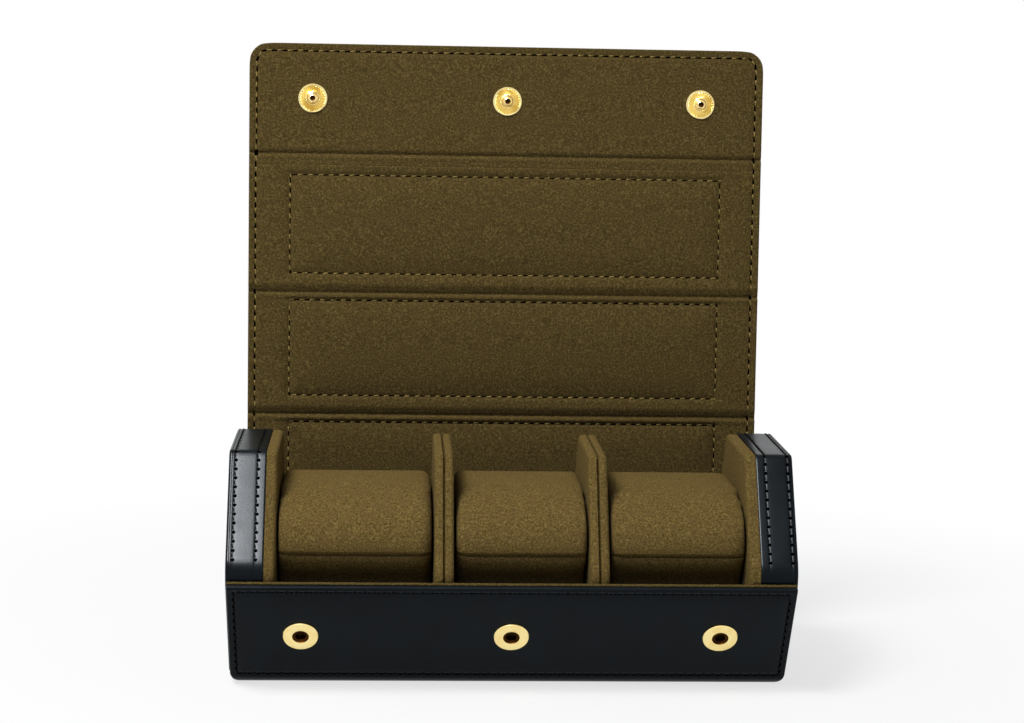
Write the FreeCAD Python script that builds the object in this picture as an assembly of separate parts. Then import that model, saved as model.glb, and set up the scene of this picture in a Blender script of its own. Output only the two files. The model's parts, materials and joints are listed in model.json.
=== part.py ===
import FreeCAD, Part
import math
import os

os.makedirs("parts", exist_ok=True)

# A travel case for three watches: a hexagonal leather roll, shown open.
# Two stiff ends stand in a wrap of boards between leather and suede.
# The wrap's lower half is fixed to the ends, and its upper half is a flap
# of four panels that folds at creases and snaps shut on the front.
# Millimetres. X runs along the case, +Y to the back and +Z up. The origin
# is on the table, under the middle of the hexagonal section.

# Hexagonal section: one side, and the rounding of its corners
side = 47.25
wide_corner = 11.0
top_corner = 3.0
foot_corner = 3.0

# Slots between the suede walls, from left to right
left_slot = 55.7
middle_slot = 48.0
right_slot = 49.3

# Layers of the wrap, and where its boards stop
leather = 1.0
board = 1.0
lining = 1.2
hem = 5.0
board_gap = 2.0

# Fixed half of the wrap
base_end_inset = 0.55
front_shortfall = 1.95
rear_shortfall = 2.0

# Ends
end_thickness = 13.4
band = 1.0
face_leather = 1.0
face_round = 0.7
plate = 4.2
plate_inset = 0.4
plate_round = 1.3
plate_suede = 0.8

# Dividers: two suede leaves sewn over a thin board
leaf = 3.3
leaf_round = 1.3
divider_board = 0.8
divider_inset = 1.1
divider_board_inset = 1.6

# Flap, and how far it leans back
flap_end_inset = 1.85
lean = 2.865
closing_gap = 0.35
rear_hinge_inset = 8.0
rear_panel_start = 5.0
crease_half = 0.9
crease_inner_recess = 0.7
crease_outer_recess = 0.3
closure_hinge_inset = 1.4
closure_crease_width = 4.5
closure_crease_slack = 0.15
closure_length = 43.1
closure_corner = 7.5

# Padding of the flap
pad_side_gap = 0.4
pad_above_crease = 6.5
pad_below_crease = 3.8
pad_rise = 0.8
pad_edge = 3.0
pad_shoulder_share = 0.8
pad_brow_share = 0.72
foam = 1.0
foam_inset = 1.6
channel_width = 1.0
channel_depth = 0.4

# Cushions
cushion_side_gap = 0.4
cushion_seat_gap = 0.3
cushion_headroom = 13.4
cushion_front_room = 8.55
cushion_waist_rise = 6.8
cushion_neck_in = 8.5
cushion_neck_drop = 11.0
cushion_foot_gap = 5.0
cushion_cover = 1.0
cushion_edge = 3.2
cushion_crown = 0.5
cushion_round_share = 0.77
seam_width = 1.0
seam_depth = 0.7

# Angles in degrees that a cushion's outline passes above its widest line
cushion_turns = (36, 63, 90)

# Snap fasteners
snap_end_inset = 26.3
socket_rise = 22.0
socket_radius = 6.35
socket_height = 0.8
socket_edge = 0.3
socket_bore = 2.3
socket_lip = 0.6
socket_lip_drop = 0.2
groove_depth = 0.3
groove_low = 0.15
groove_high = 0.5
spring_inner = 1.95
spring_slack = 0.05
spring_split = 0.6
post_wall = 0.5
post_flange = 4.5
post_flange_height = 0.4
snap_gap = 0.3
stud_radius = 5.55
stud_height = 0.5
stud_rim = 0.6
stud_dish = 0.2
stud_neck = 1.45
stud_neck_height = 0.7
stud_head = 1.8
stud_head_height = 1.4
stud_head_edge = 0.6
rivet_radius = 1.5
cap_radius = 6.2
cap_edge = 0.3
cap_height = 0.9

# Directions in the section, in degrees from +Y towards +Z
fold = 60
front_way = -fold
floor_way = 0
rear_way = fold
flap_way = 90 - lean

# Worked out from the sizes above
wrap = leather + board + lining
sine = math.sin(math.radians(fold))
cosine = math.cos(math.radians(fold))
tangent = math.tan(math.radians(fold))
apothem = side * sine
middle_height = wrap + apothem
top_height = wrap + 2 * apothem
divider = 2 * leaf + divider_board
slots = left_slot + middle_slot + right_slot
case_length = slots + 2 * divider + 2 * plate + 2 * end_thickness
case_end = case_length / 2
end_inner = case_end - end_thickness
slot_end = end_inner - plate
base_end = case_end - base_end_inset
flap_end = case_end - flap_end_inset
snap_places = (snap_end_inset - case_end, 0, case_end - snap_end_inset)

# Hexagon as (y, z), clockwise from the front foot over the top
hexagon = [
    (-side / 2, wrap),
    (-side, middle_height),
    (-side / 2, top_height),
    (side / 2, top_height),
    (side, middle_height),
    (side / 2, wrap),
]
hexagon_rounds = [foot_corner, wide_corner, top_corner, top_corner, wide_corner, foot_corner]

# Creases, as runs up the flap from the foot of the rear hinge line.
# Closed, the flap's lining lies closing_gap outside the hexagon, and the
# closure's lining lies outside the front wall by the height of the snaps.
closed_stack = wrap + socket_height + snap_gap + stud_height
upper_step = closing_gap - closure_hinge_inset
lower_step = closed_stack - closure_hinge_inset
fold_growth = closing_gap / tangent
rear_crease = side + fold_growth
top_crease = rear_crease + side + 2 * fold_growth
closure_crease = top_crease + side + fold_growth + (lower_step - upper_step * cosine) / sine
closure_edge = closure_crease + closure_length
stud_run = closure_crease + side - socket_rise - (lower_step * cosine - upper_step) / sine
crease_above = closure_hinge_inset / tangent + closure_crease_slack
crease_below = closure_crease_width - crease_above


def export(name, *shapes):
    """Write one piece, or a group of like pieces, to its own file."""
    solids = [solid for shape in shapes for solid in shape.Solids]
    if not solids or not all(solid.isValid() for solid in solids):
        raise ValueError("this piece is not sound: " + name)
    whole = solids[0] if len(solids) == 1 else Part.makeCompound(solids)
    whole.exportStep("parts/" + name + ".step")
    print(name, len(solids), round(whole.Volume, 2))


def step_from(point, way, run, outwards):
    """A section point, run along a direction and moved to its outer side."""
    along = math.radians(way)
    out = math.radians(way - 90)
    y = point[0] + run * math.cos(along) + outwards * math.cos(out)
    z = point[1] + run * math.sin(along) + outwards * math.sin(out)
    return (y, z)


# Each wall of the section starts at a point and runs one way
hinge_line = step_from(hexagon[4], 2 * fold, 0, -rear_hinge_inset)
flap_foot = step_from(hinge_line, flap_way, 0, rear_hinge_inset + closing_gap)
front_wall = (hexagon[1], front_way)
floor_wall = (hexagon[0], floor_way)
rear_wall = (hexagon[5], rear_way)
flap_wall = (flap_foot, flap_way)


def lay(shape, wall):
    """Move a piece from its flat drawing to a wall.

    The drawing has X along the case, Y outwards from the lining's surface
    and Z along the wall.
    """
    (y, z), way = wall
    laid = shape.copy()
    laid.rotate(FreeCAD.Vector(0, 0, 0), FreeCAD.Vector(1, 0, 0), way - 90)
    laid.translate(FreeCAD.Vector(0, y, z))
    return laid


def block(reach, outwards, runs):
    """A flat sheet: half its width, its depths and its runs along the wall."""
    size = (2 * reach, outwards[1] - outwards[0], runs[1] - runs[0])
    return Part.makeBox(*size, FreeCAD.Vector(-reach, outwards[0], runs[0]))


def shifted_outline(points, steps):
    """Move each edge of a clockwise outline outwards by its own step."""
    edges = []
    for i, (y, z) in enumerate(points):
        next_y, next_z = points[(i + 1) % len(points)]
        way = math.degrees(math.atan2(next_z - z, next_y - y))
        edges.append((step_from((y, z), way, 0, -steps[i]), math.radians(way)))
    corners = []
    for i, (here, way) in enumerate(edges):
        before, before_way = edges[i - 1]
        across = (here[0] - before[0]) * math.sin(way) - (here[1] - before[1]) * math.cos(way)
        run = across / math.sin(way - before_way)
        corners.append((before[0] + run * math.cos(before_way), before[1] + run * math.sin(before_way)))
    return corners


def corner_points(before, here, after, radius, x):
    """Start, middle and end of the arc that rounds one corner."""
    here = FreeCAD.Vector(x, *here)
    back = (FreeCAD.Vector(x, *before) - here).normalize()
    ahead = (FreeCAD.Vector(x, *after) - here).normalize()
    half = back.getAngle(ahead) / 2
    inwards = (back + ahead).normalize()
    reach = radius / math.tan(half)
    depth = radius / math.sin(half) - radius
    return (here + back * reach, here + inwards * depth, here + ahead * reach)


def rounded_block(points, rounds, x0, x1):
    """An outline with rounded corners, pushed along the case from x0 to x1."""
    arcs = []
    for i, here in enumerate(points):
        after = points[(i + 1) % len(points)]
        arcs.append(corner_points(points[i - 1], here, after, rounds[i], x0))
    edges = []
    for i, arc in enumerate(arcs):
        edges.append(Part.Arc(*arc).toShape())
        edges.append(Part.makeLine(arc[2], arcs[(i + 1) % len(arcs)][0]))
    return Part.Face(Part.Wire(edges)).extrude(FreeCAD.Vector(x1 - x0, 0, 0))


def round_end(shape, x, radius):
    """Round the edges of a block that lie in the plane at x."""
    near = radius / 100
    found = [e for e in shape.Edges if max(abs(e.BoundBox.XMin - x), abs(e.BoundBox.XMax - x)) < near]
    return shape.makeFillet(radius, found)


def strip_path(outwards, x):
    """Edges of the fixed wrap's section from its front end to its rear end."""
    bends = []
    for corner, way in ((hexagon[0], front_way), (hexagon[5], floor_way)):
        centre = step_from(corner, way, -foot_corner / tangent, -foot_corner)
        radius = foot_corner + outwards
        turns = (way, way + fold / 2, way + fold)
        bends.append([FreeCAD.Vector(x, *step_from(centre, turn, 0, radius)) for turn in turns])
    start = FreeCAD.Vector(x, *step_from(hexagon[1], front_way, front_shortfall, outwards))
    stop = FreeCAD.Vector(x, *step_from(hexagon[4], rear_way, -rear_shortfall, outwards))
    edges = [
        Part.makeLine(start, bends[0][0]),
        Part.Arc(*bends[0]).toShape(),
        Part.makeLine(bends[0][2], bends[1][0]),
        Part.Arc(*bends[1]).toShape(),
        Part.makeLine(bends[1][2], stop),
    ]
    return start, edges, stop


def bent_sheet(inner, outer, reach):
    """The fixed wrap's sheet between two depths."""
    inner_start, inner_edges, inner_stop = strip_path(inner, -reach)
    outer_start, outer_edges, outer_stop = strip_path(outer, -reach)
    ends = [Part.makeLine(inner_start, outer_start), Part.makeLine(inner_stop, outer_stop)]
    wire = Part.Wire(Part.sortEdges(inner_edges + outer_edges + ends)[0])
    return Part.Face(wire).extrude(FreeCAD.Vector(2 * reach, 0, 0))


def turned(points, arc=None):
    """Turn a profile of (radius, height) points round the Z axis."""
    corners = [FreeCAD.Vector(r, 0, h) for r, h in points]
    edges = [Part.makeLine(a, b) for a, b in zip(corners, corners[1:])]
    if arc is None:
        edges.append(Part.makeLine(corners[-1], corners[0]))
    else:
        edges.append(Part.Arc(corners[-1], FreeCAD.Vector(arc[0], 0, arc[1]), corners[0]).toShape())
    face = Part.Face(Part.Wire(edges))
    return face.revolve(FreeCAD.Vector(0, 0, 0), FreeCAD.Vector(0, 0, 1), 360)


def at_snaps(shape, run, depth, outwards, wall):
    """Three copies of a turned piece, standing on a wall at the snaps."""
    copies = []
    for x in snap_places:
        copy = shape.copy()
        copy.rotate(FreeCAD.Vector(0, 0, 0), FreeCAD.Vector(1, 0, 0), -90 if outwards else 90)
        copy.translate(FreeCAD.Vector(x, depth, run))
        copies.append(lay(copy, wall))
    return copies


def cut_all(shape, tools):
    """Cut several pieces out of one."""
    return shape.cut(Part.makeCompound(list(tools)))


def make_sockets():
    """The snaps' lower halves on the front wall, and the tools of their holes."""
    run = side - socket_rise
    depth = leather + board
    shell = turned([
        (socket_bore, 0),
        (socket_radius, 0),
        (socket_radius, socket_height - socket_edge),
        (socket_radius - socket_edge, socket_height),
        (socket_bore + socket_lip, socket_height),
        (socket_bore, socket_height - socket_lip_drop),
        (socket_bore, groove_high),
        (socket_bore + groove_depth, groove_high),
        (socket_bore + groove_depth, groove_low),
        (socket_bore, groove_low),
    ])
    spring_outer = socket_bore + groove_depth - spring_slack
    ring = turned([
        (spring_inner, groove_low + spring_slack),
        (spring_outer, groove_low + spring_slack),
        (spring_outer, groove_high - spring_slack),
        (spring_inner, groove_high - spring_slack),
    ])
    split = Part.makeBox(spring_split, socket_bore * 2, socket_height)
    split.translate(FreeCAD.Vector(-spring_split / 2, 0, 0))
    post_outer = socket_bore + post_wall
    post = turned([
        (0, -depth - post_flange_height),
        (post_flange, -depth - post_flange_height),
        (post_flange, -depth),
        (post_outer, -depth),
        (post_outer, 0),
        (socket_bore, 0),
        (socket_bore, -depth),
        (0, -depth),
    ])
    export("snap_sockets", *at_snaps(shell, run, wrap, True, front_wall))
    export("socket_springs", *at_snaps(ring.cut(split), run, wrap, True, front_wall))
    export("socket_posts", *at_snaps(post, run, wrap, True, front_wall))
    hole = Part.makeCylinder(post_outer, depth, FreeCAD.Vector(0, 0, -depth))
    pocket = Part.makeCylinder(post_flange, post_flange_height)
    pocket.translate(FreeCAD.Vector(0, 0, -depth - post_flange_height))
    holes = at_snaps(hole, run, wrap, True, front_wall)
    pockets = at_snaps(pocket, run, wrap, True, front_wall)
    return holes, pockets


def make_fixed_wrap():
    """Leather, three boards and lining that hold the ends from below."""
    holes, pockets = make_sockets()
    bend = foot_corner / tangent + board_gap
    depths = (lining, lining + board)
    reach = base_end - hem
    front = lay(block(reach, depths, (front_shortfall + board_gap, side - bend)), front_wall)
    floor = lay(block(reach, depths, (bend, side - bend)), floor_wall)
    rear = lay(block(reach, depths, (bend, side - rear_shortfall - board_gap)), rear_wall)
    outer = cut_all(bent_sheet(lining, wrap, base_end), [front, floor, rear] + holes)
    inner = cut_all(bent_sheet(0, lining, base_end), pockets)
    export("base_leather", outer)
    export("base_lining", inner)
    export("front_board", cut_all(front, holes))
    export("floor_board", floor)
    export("rear_board", rear)


def make_end(name, sign):
    """One stiff end: core, leather band and face, and its padded suede wall."""
    inset = [-band] * len(hexagon)
    inner = shifted_outline(hexagon, inset)
    inner_rounds = [r - band for r in hexagon_rounds]
    shoulder = case_end - face_leather
    core = rounded_block(inner, inner_rounds, sign * end_inner, sign * shoulder)
    whole = rounded_block(hexagon, hexagon_rounds, sign * end_inner, sign * shoulder)
    face = rounded_block(hexagon, hexagon_rounds, sign * shoulder, sign * case_end)
    export(name + "_core", core)
    export(name + "_band", whole.cut(core))
    export(name + "_face", round_end(face, sign * case_end, face_round))
    open_sides = [0, -plate_inset, -plate_inset, -plate_inset, 0, 0]
    outline = shifted_outline(hexagon, open_sides)
    rounds = [r - plate_inset for r in hexagon_rounds]
    padded = rounded_block(outline, rounds, sign * slot_end, sign * end_inner)
    padded = round_end(padded, sign * slot_end, plate_round)
    inside = shifted_outline(outline, [-plate_suede] * len(outline))
    inside_rounds = [r - plate_suede for r in rounds]
    stiffener = rounded_block(inside, inside_rounds, sign * (slot_end + plate_suede), sign * end_inner)
    export(name + "_wall_core", stiffener)
    export(name + "_wall_suede", padded.cut(stiffener))


def make_divider(name, x):
    """Two rounded suede leaves with a board between them, from x to the right."""
    open_sides = [0, -divider_inset, -divider_inset, -divider_inset, 0, 0]
    outline = shifted_outline(hexagon, open_sides)
    rounds = [r - divider_inset for r in hexagon_rounds]
    first = rounded_block(outline, rounds, x, x + leaf)
    second = rounded_block(outline, rounds, x + leaf + divider_board, x + divider)
    export(name + "_left_leaf", round_end(first, x, leaf_round))
    export(name + "_right_leaf", round_end(second, x + divider, leaf_round))
    inner = shifted_outline(outline, [-divider_board_inset] * len(outline))
    inner_rounds = [max(r - divider_board_inset, divider_board) for r in rounds]
    export(name + "_board", rounded_block(inner, inner_rounds, x + leaf, x + leaf + divider_board))


def pillow(reach, runs):
    """The raised padding of one panel: crowned both ways, with drawn-in sides."""
    shoulder = -pad_rise * pad_shoulder_share
    brow = shoulder * pad_brow_share

    def profile(low, high, place):
        start, stop = place(low, 0), place(high, 0)
        rise_end, fall_start = place(low + pad_edge, shoulder), place(high - pad_edge, shoulder)
        rise = Part.Arc(start, place(low + pad_edge / 2, brow), rise_end).toShape()
        crown = Part.Arc(rise_end, place((low + high) / 2, -pad_rise), fall_start).toShape()
        fall = Part.Arc(fall_start, place(high - pad_edge / 2, brow), stop).toShape()
        return Part.Face(Part.Wire([rise, crown, fall, Part.makeLine(stop, start)]))

    side_on = profile(*runs, lambda run, rise: FreeCAD.Vector(-reach, rise, run))
    end_on = profile(-reach, reach, lambda x, rise: FreeCAD.Vector(x, rise, runs[0]))
    long_form = side_on.extrude(FreeCAD.Vector(2 * reach, 0, 0))
    tall_form = end_on.extrude(FreeCAD.Vector(0, 0, runs[1] - runs[0]))
    return long_form.common(tall_form)


def make_panel(name, runs, pad_runs):
    """One padded panel of the flap: leather, board, foam and lining."""
    board_runs = (runs[0] + board_gap, runs[1] - board_gap)
    stiff = block(flap_end - hem, (lining, lining + board), board_runs)
    outer = block(flap_end, (lining, wrap), runs).cut(stiff)
    reach = slot_end - pad_side_gap
    pad_depths = (lining - foam, lining)
    foam_runs = (pad_runs[0] + foam_inset, pad_runs[1] - foam_inset)
    pad = block(reach - foam_inset, pad_depths, foam_runs)
    channel_runs = (pad_runs[0] - channel_width, pad_runs[1] + channel_width)
    channel = block(reach + channel_width, (0, channel_depth), channel_runs)
    channel = channel.cut(block(reach, (0, channel_depth), pad_runs))
    sheet = block(flap_end, (0, lining), runs).cut(channel)
    sheet = sheet.fuse(pillow(reach, pad_runs)).removeSplitter().cut(pad)
    export(name + "_leather", lay(outer, flap_wall))
    export(name + "_board", lay(stiff, flap_wall))
    export(name + "_foam", lay(pad, flap_wall))
    export(name + "_lining", lay(sheet, flap_wall))


def closure_sheet(depths, reach, runs, corner):
    """A sheet of the closure, with its two free corners rounded."""
    low, high = runs
    depth = depths[0]
    slant = corner * (1 - math.sqrt(0.5))
    left = Part.Arc(
        FreeCAD.Vector(-reach, depth, high - corner),
        FreeCAD.Vector(slant - reach, depth, high - slant),
        FreeCAD.Vector(corner - reach, depth, high),
    )
    right = Part.Arc(
        FreeCAD.Vector(reach - corner, depth, high),
        FreeCAD.Vector(reach - slant, depth, high - slant),
        FreeCAD.Vector(reach, depth, high - corner),
    )
    foot_left = FreeCAD.Vector(-reach, depth, low)
    foot_right = FreeCAD.Vector(reach, depth, low)
    edges = [
        Part.makeLine(foot_left, left.StartPoint),
        left.toShape(),
        Part.makeLine(left.EndPoint, right.StartPoint),
        right.toShape(),
        Part.makeLine(right.EndPoint, foot_right),
        Part.makeLine(foot_right, foot_left),
    ]
    return Part.Face(Part.Wire(edges)).extrude(FreeCAD.Vector(0, depths[1] - depth, 0))


def make_closure():
    """The closure at the flap's end, with its three studs and their caps."""
    runs = (closure_crease + crease_above, closure_edge)
    board_runs = (runs[0] + board_gap, runs[1] - hem)
    stiff = closure_sheet((lining, lining + board), flap_end - hem, board_runs, closure_corner - board_gap)
    outer = closure_sheet((lining, wrap), flap_end, runs, closure_corner).cut(stiff)
    sheet = closure_sheet((0, lining), flap_end, runs, closure_corner)
    neck_top = stud_height + stud_neck_height
    head_top = neck_top + stud_head_height
    stud = turned([
        (0, 0),
        (stud_radius, 0),
        (stud_radius, stud_height),
        (stud_radius - stud_rim, stud_height),
        (stud_radius - stud_rim, stud_height - stud_dish),
        (stud_neck, stud_height - stud_dish),
        (stud_neck, neck_top),
        (stud_head, neck_top),
        (stud_head, head_top - stud_head_edge),
        (stud_head - stud_head_edge, head_top),
        (0, head_top),
    ])
    dome = cap_height - cap_edge
    ball = (cap_radius ** 2 + dome ** 2) / (2 * dome)
    half_cap = cap_radius / 2
    cap = turned(
        [
            (0, cap_height),
            (0, -wrap),
            (rivet_radius, -wrap),
            (rivet_radius, 0),
            (cap_radius, 0),
            (cap_radius, cap_edge),
        ],
        (half_cap, cap_height - ball + math.sqrt(ball ** 2 - half_cap ** 2)),
    )
    hole = Part.makeCylinder(rivet_radius, wrap, FreeCAD.Vector(0, 0, -wrap))
    holes = at_snaps(hole, stud_run, wrap, True, flap_wall)
    export("closure_leather", cut_all(lay(outer, flap_wall), holes))
    export("closure_board", cut_all(lay(stiff, flap_wall), holes))
    export("closure_lining", cut_all(lay(sheet, flap_wall), holes))
    export("snap_studs", *at_snaps(stud, stud_run, 0, False, flap_wall))
    export("stud_caps", *at_snaps(cap, stud_run, wrap, True, flap_wall))


def make_creases():
    """The soft strips of leather and lining between the panels."""
    depths = (crease_inner_recess, wrap - crease_outer_recess)
    flat = {
        "rear_top_crease": (rear_crease - crease_half, rear_crease + crease_half),
        "front_top_crease": (top_crease - crease_half, top_crease + crease_half),
        "closure_crease": (closure_crease - crease_below, closure_crease + crease_above),
    }
    for name, runs in flat.items():
        export(name, lay(block(flap_end, depths, runs), flap_wall))
    corners = [
        step_from(hexagon[4], rear_way, -rear_shortfall, depths[0]),
        step_from(flap_foot, flap_way, rear_panel_start, depths[0]),
        step_from(flap_foot, flap_way, rear_panel_start, depths[1]),
        step_from(hexagon[4], rear_way, -rear_shortfall, depths[1]),
    ]
    outline = [FreeCAD.Vector(-flap_end, *corner) for corner in corners + corners[:1]]
    strip = Part.Face(Part.makePolygon(outline))
    export("rear_hinge_crease", strip.extrude(FreeCAD.Vector(2 * flap_end, 0, 0)))


def make_flap():
    """Three padded panels, the closure and the creases between them."""
    rear = (rear_panel_start, rear_crease - crease_half)
    top = (rear_crease + crease_half, top_crease - crease_half)
    front = (top_crease + crease_half, closure_crease - crease_below)
    make_panel("rear_panel", rear, (pad_above_crease, rear_crease - pad_below_crease))
    make_panel("top_panel", top, (rear_crease + pad_above_crease, top_crease - pad_below_crease))
    make_panel("front_panel", front, (top_crease + pad_above_crease, front[1] - pad_below_crease))
    make_closure()
    make_creases()


def cushion_section(inset, x):
    """Outline of a cushion across the case, drawn in by an inset.

    A squared oval down to its widest line, where a sewn channel runs along
    each side. Below that its sides draw in to a neck over a straight foot.
    """
    waist = middle_height + cushion_waist_rise
    half_depth = side - cushion_front_room - inset
    rise = top_height - cushion_headroom - waist - inset
    neck = half_depth - cushion_neck_in
    foot = side / 2 - cushion_foot_gap - inset

    def over(turn):
        y_share, z_share = math.cos(math.radians(turn)), math.sin(math.radians(turn))
        y = math.copysign(abs(y_share) ** cushion_round_share, y_share) * half_depth
        return FreeCAD.Vector(x, y, waist + abs(z_share) ** cushion_round_share * rise)

    turns = [0, *cushion_turns]
    turns += [180 - turn for turn in turns[-2::-1]]
    edges = [
        Part.Arc(over(here), over((here + after) / 2), over(after)).toShape()
        for here, after in zip(turns, turns[1:])
    ]
    under = [
        (half_depth, waist),
        (half_depth - seam_depth, waist - seam_width / 2),
        (half_depth, waist - seam_width),
        (neck, waist - cushion_neck_drop),
        (foot, wrap),
    ]
    corners = [(-y, z) for y, z in under] + under[::-1]
    points = [FreeCAD.Vector(x, y, z) for y, z in corners]
    edges += [Part.makeLine(here, after) for here, after in zip(points, points[1:])]
    return Part.Wire(edges)


def cushion_form(x0, x1, inset, seat):
    """A closed cushion between x0 and x1, crowned and cut flat at its seat."""
    middle = (x0 + x1) / 2
    runs_and_insets = (
        (0, cushion_edge),
        (cushion_edge / 4, cushion_edge / 2),
        (cushion_edge, cushion_crown),
        (middle - x0, 0),
    )
    sections = [cushion_section(inset + deeper, x0 + run) for run, deeper in runs_and_insets]
    mirrored = runs_and_insets[-2::-1]
    sections += [cushion_section(inset + deeper, x1 - run) for run, deeper in mirrored]
    form = Part.makeLoft(sections, True, True)
    below = Part.makeBox(x1 - x0 + 2 * side, 4 * side, side, FreeCAD.Vector(x0 - side, -2 * side, seat - side))
    return form.cut(below)


def make_cushion(name, x0, x1):
    """One cushion: a suede cover sewn round a foam core."""
    seat = wrap + cushion_seat_gap
    outer = cushion_form(x0, x1, 0, seat)
    core = cushion_form(x0 + cushion_cover, x1 - cushion_cover, cushion_cover, seat + cushion_cover)
    export(name + "_cover", outer.cut(core))
    export(name + "_foam", core)


def make_slots():
    """The dividers and the three cushions between them."""
    first = left_slot - slot_end
    second = first + divider + middle_slot
    make_divider("left_divider", first)
    make_divider("right_divider", second)
    gap = cushion_side_gap
    make_cushion("left_cushion", gap - slot_end, first - gap)
    make_cushion("middle_cushion", first + divider + gap, second - gap)
    make_cushion("right_cushion", second + divider + gap, slot_end - gap)


make_fixed_wrap()
make_end("left_end", -1)
make_end("right_end", 1)
make_slots()
make_flap()
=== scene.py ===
"""Dresses the watch travel case: suede, leather, thread, padding and gilt snaps.

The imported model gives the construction. Every soft part of it is built again
here as a maker would see it: sheets of leather and suede cut flat and bent
round the section, padding blown up by a cloth simulation, thread laid stitch
by stitch, and press snaps turned and ribbed. Metres, in the model's frame.
"""

from __future__ import annotations

import json
import logging
import math
from collections.abc import Callable, Iterator, Sequence
from contextlib import contextmanager
from dataclasses import dataclass, field
from enum import Enum

import bmesh
import bpy
import numpy as np
from mathutils import Matrix, Vector

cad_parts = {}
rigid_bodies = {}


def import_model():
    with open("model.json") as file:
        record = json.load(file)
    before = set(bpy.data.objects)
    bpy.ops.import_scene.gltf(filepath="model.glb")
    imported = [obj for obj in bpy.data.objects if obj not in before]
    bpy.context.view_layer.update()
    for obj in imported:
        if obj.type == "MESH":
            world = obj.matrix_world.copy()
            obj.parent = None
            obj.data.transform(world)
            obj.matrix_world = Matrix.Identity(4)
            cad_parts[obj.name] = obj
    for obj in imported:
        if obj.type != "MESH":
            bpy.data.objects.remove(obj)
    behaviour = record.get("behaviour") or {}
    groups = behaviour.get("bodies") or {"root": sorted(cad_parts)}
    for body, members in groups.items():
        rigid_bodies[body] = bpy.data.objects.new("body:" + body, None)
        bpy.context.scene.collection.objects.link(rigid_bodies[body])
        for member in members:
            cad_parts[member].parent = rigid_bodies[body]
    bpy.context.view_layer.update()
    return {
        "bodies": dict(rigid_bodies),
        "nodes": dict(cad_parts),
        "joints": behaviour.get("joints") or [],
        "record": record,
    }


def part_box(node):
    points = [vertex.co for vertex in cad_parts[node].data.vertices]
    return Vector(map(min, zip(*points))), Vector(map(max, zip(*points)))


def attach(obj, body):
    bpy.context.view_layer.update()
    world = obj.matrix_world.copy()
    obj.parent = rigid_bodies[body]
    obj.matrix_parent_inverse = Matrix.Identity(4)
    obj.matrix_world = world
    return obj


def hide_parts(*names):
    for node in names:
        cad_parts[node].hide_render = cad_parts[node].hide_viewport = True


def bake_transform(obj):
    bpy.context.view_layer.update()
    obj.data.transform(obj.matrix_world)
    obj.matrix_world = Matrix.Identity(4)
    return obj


Piece = bpy.types.Object
Tree = bpy.types.NodeTree
Socket = bpy.types.NodeSocket
Place = tuple[float, float]
Route = Sequence[Place]

LOG = logging.getLogger("watch_case")
MM = 0.001
PHOTO_WIDTH = 1024

# The section turns this far at each corner, in degrees
FOLD = 60.0
FOLD_SINE = math.sin(math.radians(FOLD))
FOLD_COSINE = math.cos(math.radians(FOLD))

# How far a corner's rounding reaches along a side, for each unit of its radius
CORNER_SHARE = math.tan(math.radians(FOLD / 2))

# Lines, points and places that are closer than this are taken for one
SAME_LINE = 1e-7
SAME_POINT = 0.002 * MM
SAME_PLACE = 0.01 * MM
ROUNDING = 1e-9

# Lines that stand for an arc, and the sharpest edges in degrees that still shade smooth
ARC_STEPS = 6
THREAD_ANGLE = 50
SHEET_ANGLE = 40
COVER_ANGLE = 32
TURNED_ANGLE = 28


class Side(Enum):
    """Which face of the wrap a sheet shows: towards the watches, or outside."""

    INNER = -1
    OUTER = 1

    @property
    def depth(self) -> float:
        """Depth in the wrap at which this face lies."""
        return SIZES.wrap if self is Side.OUTER else 0.0


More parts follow.
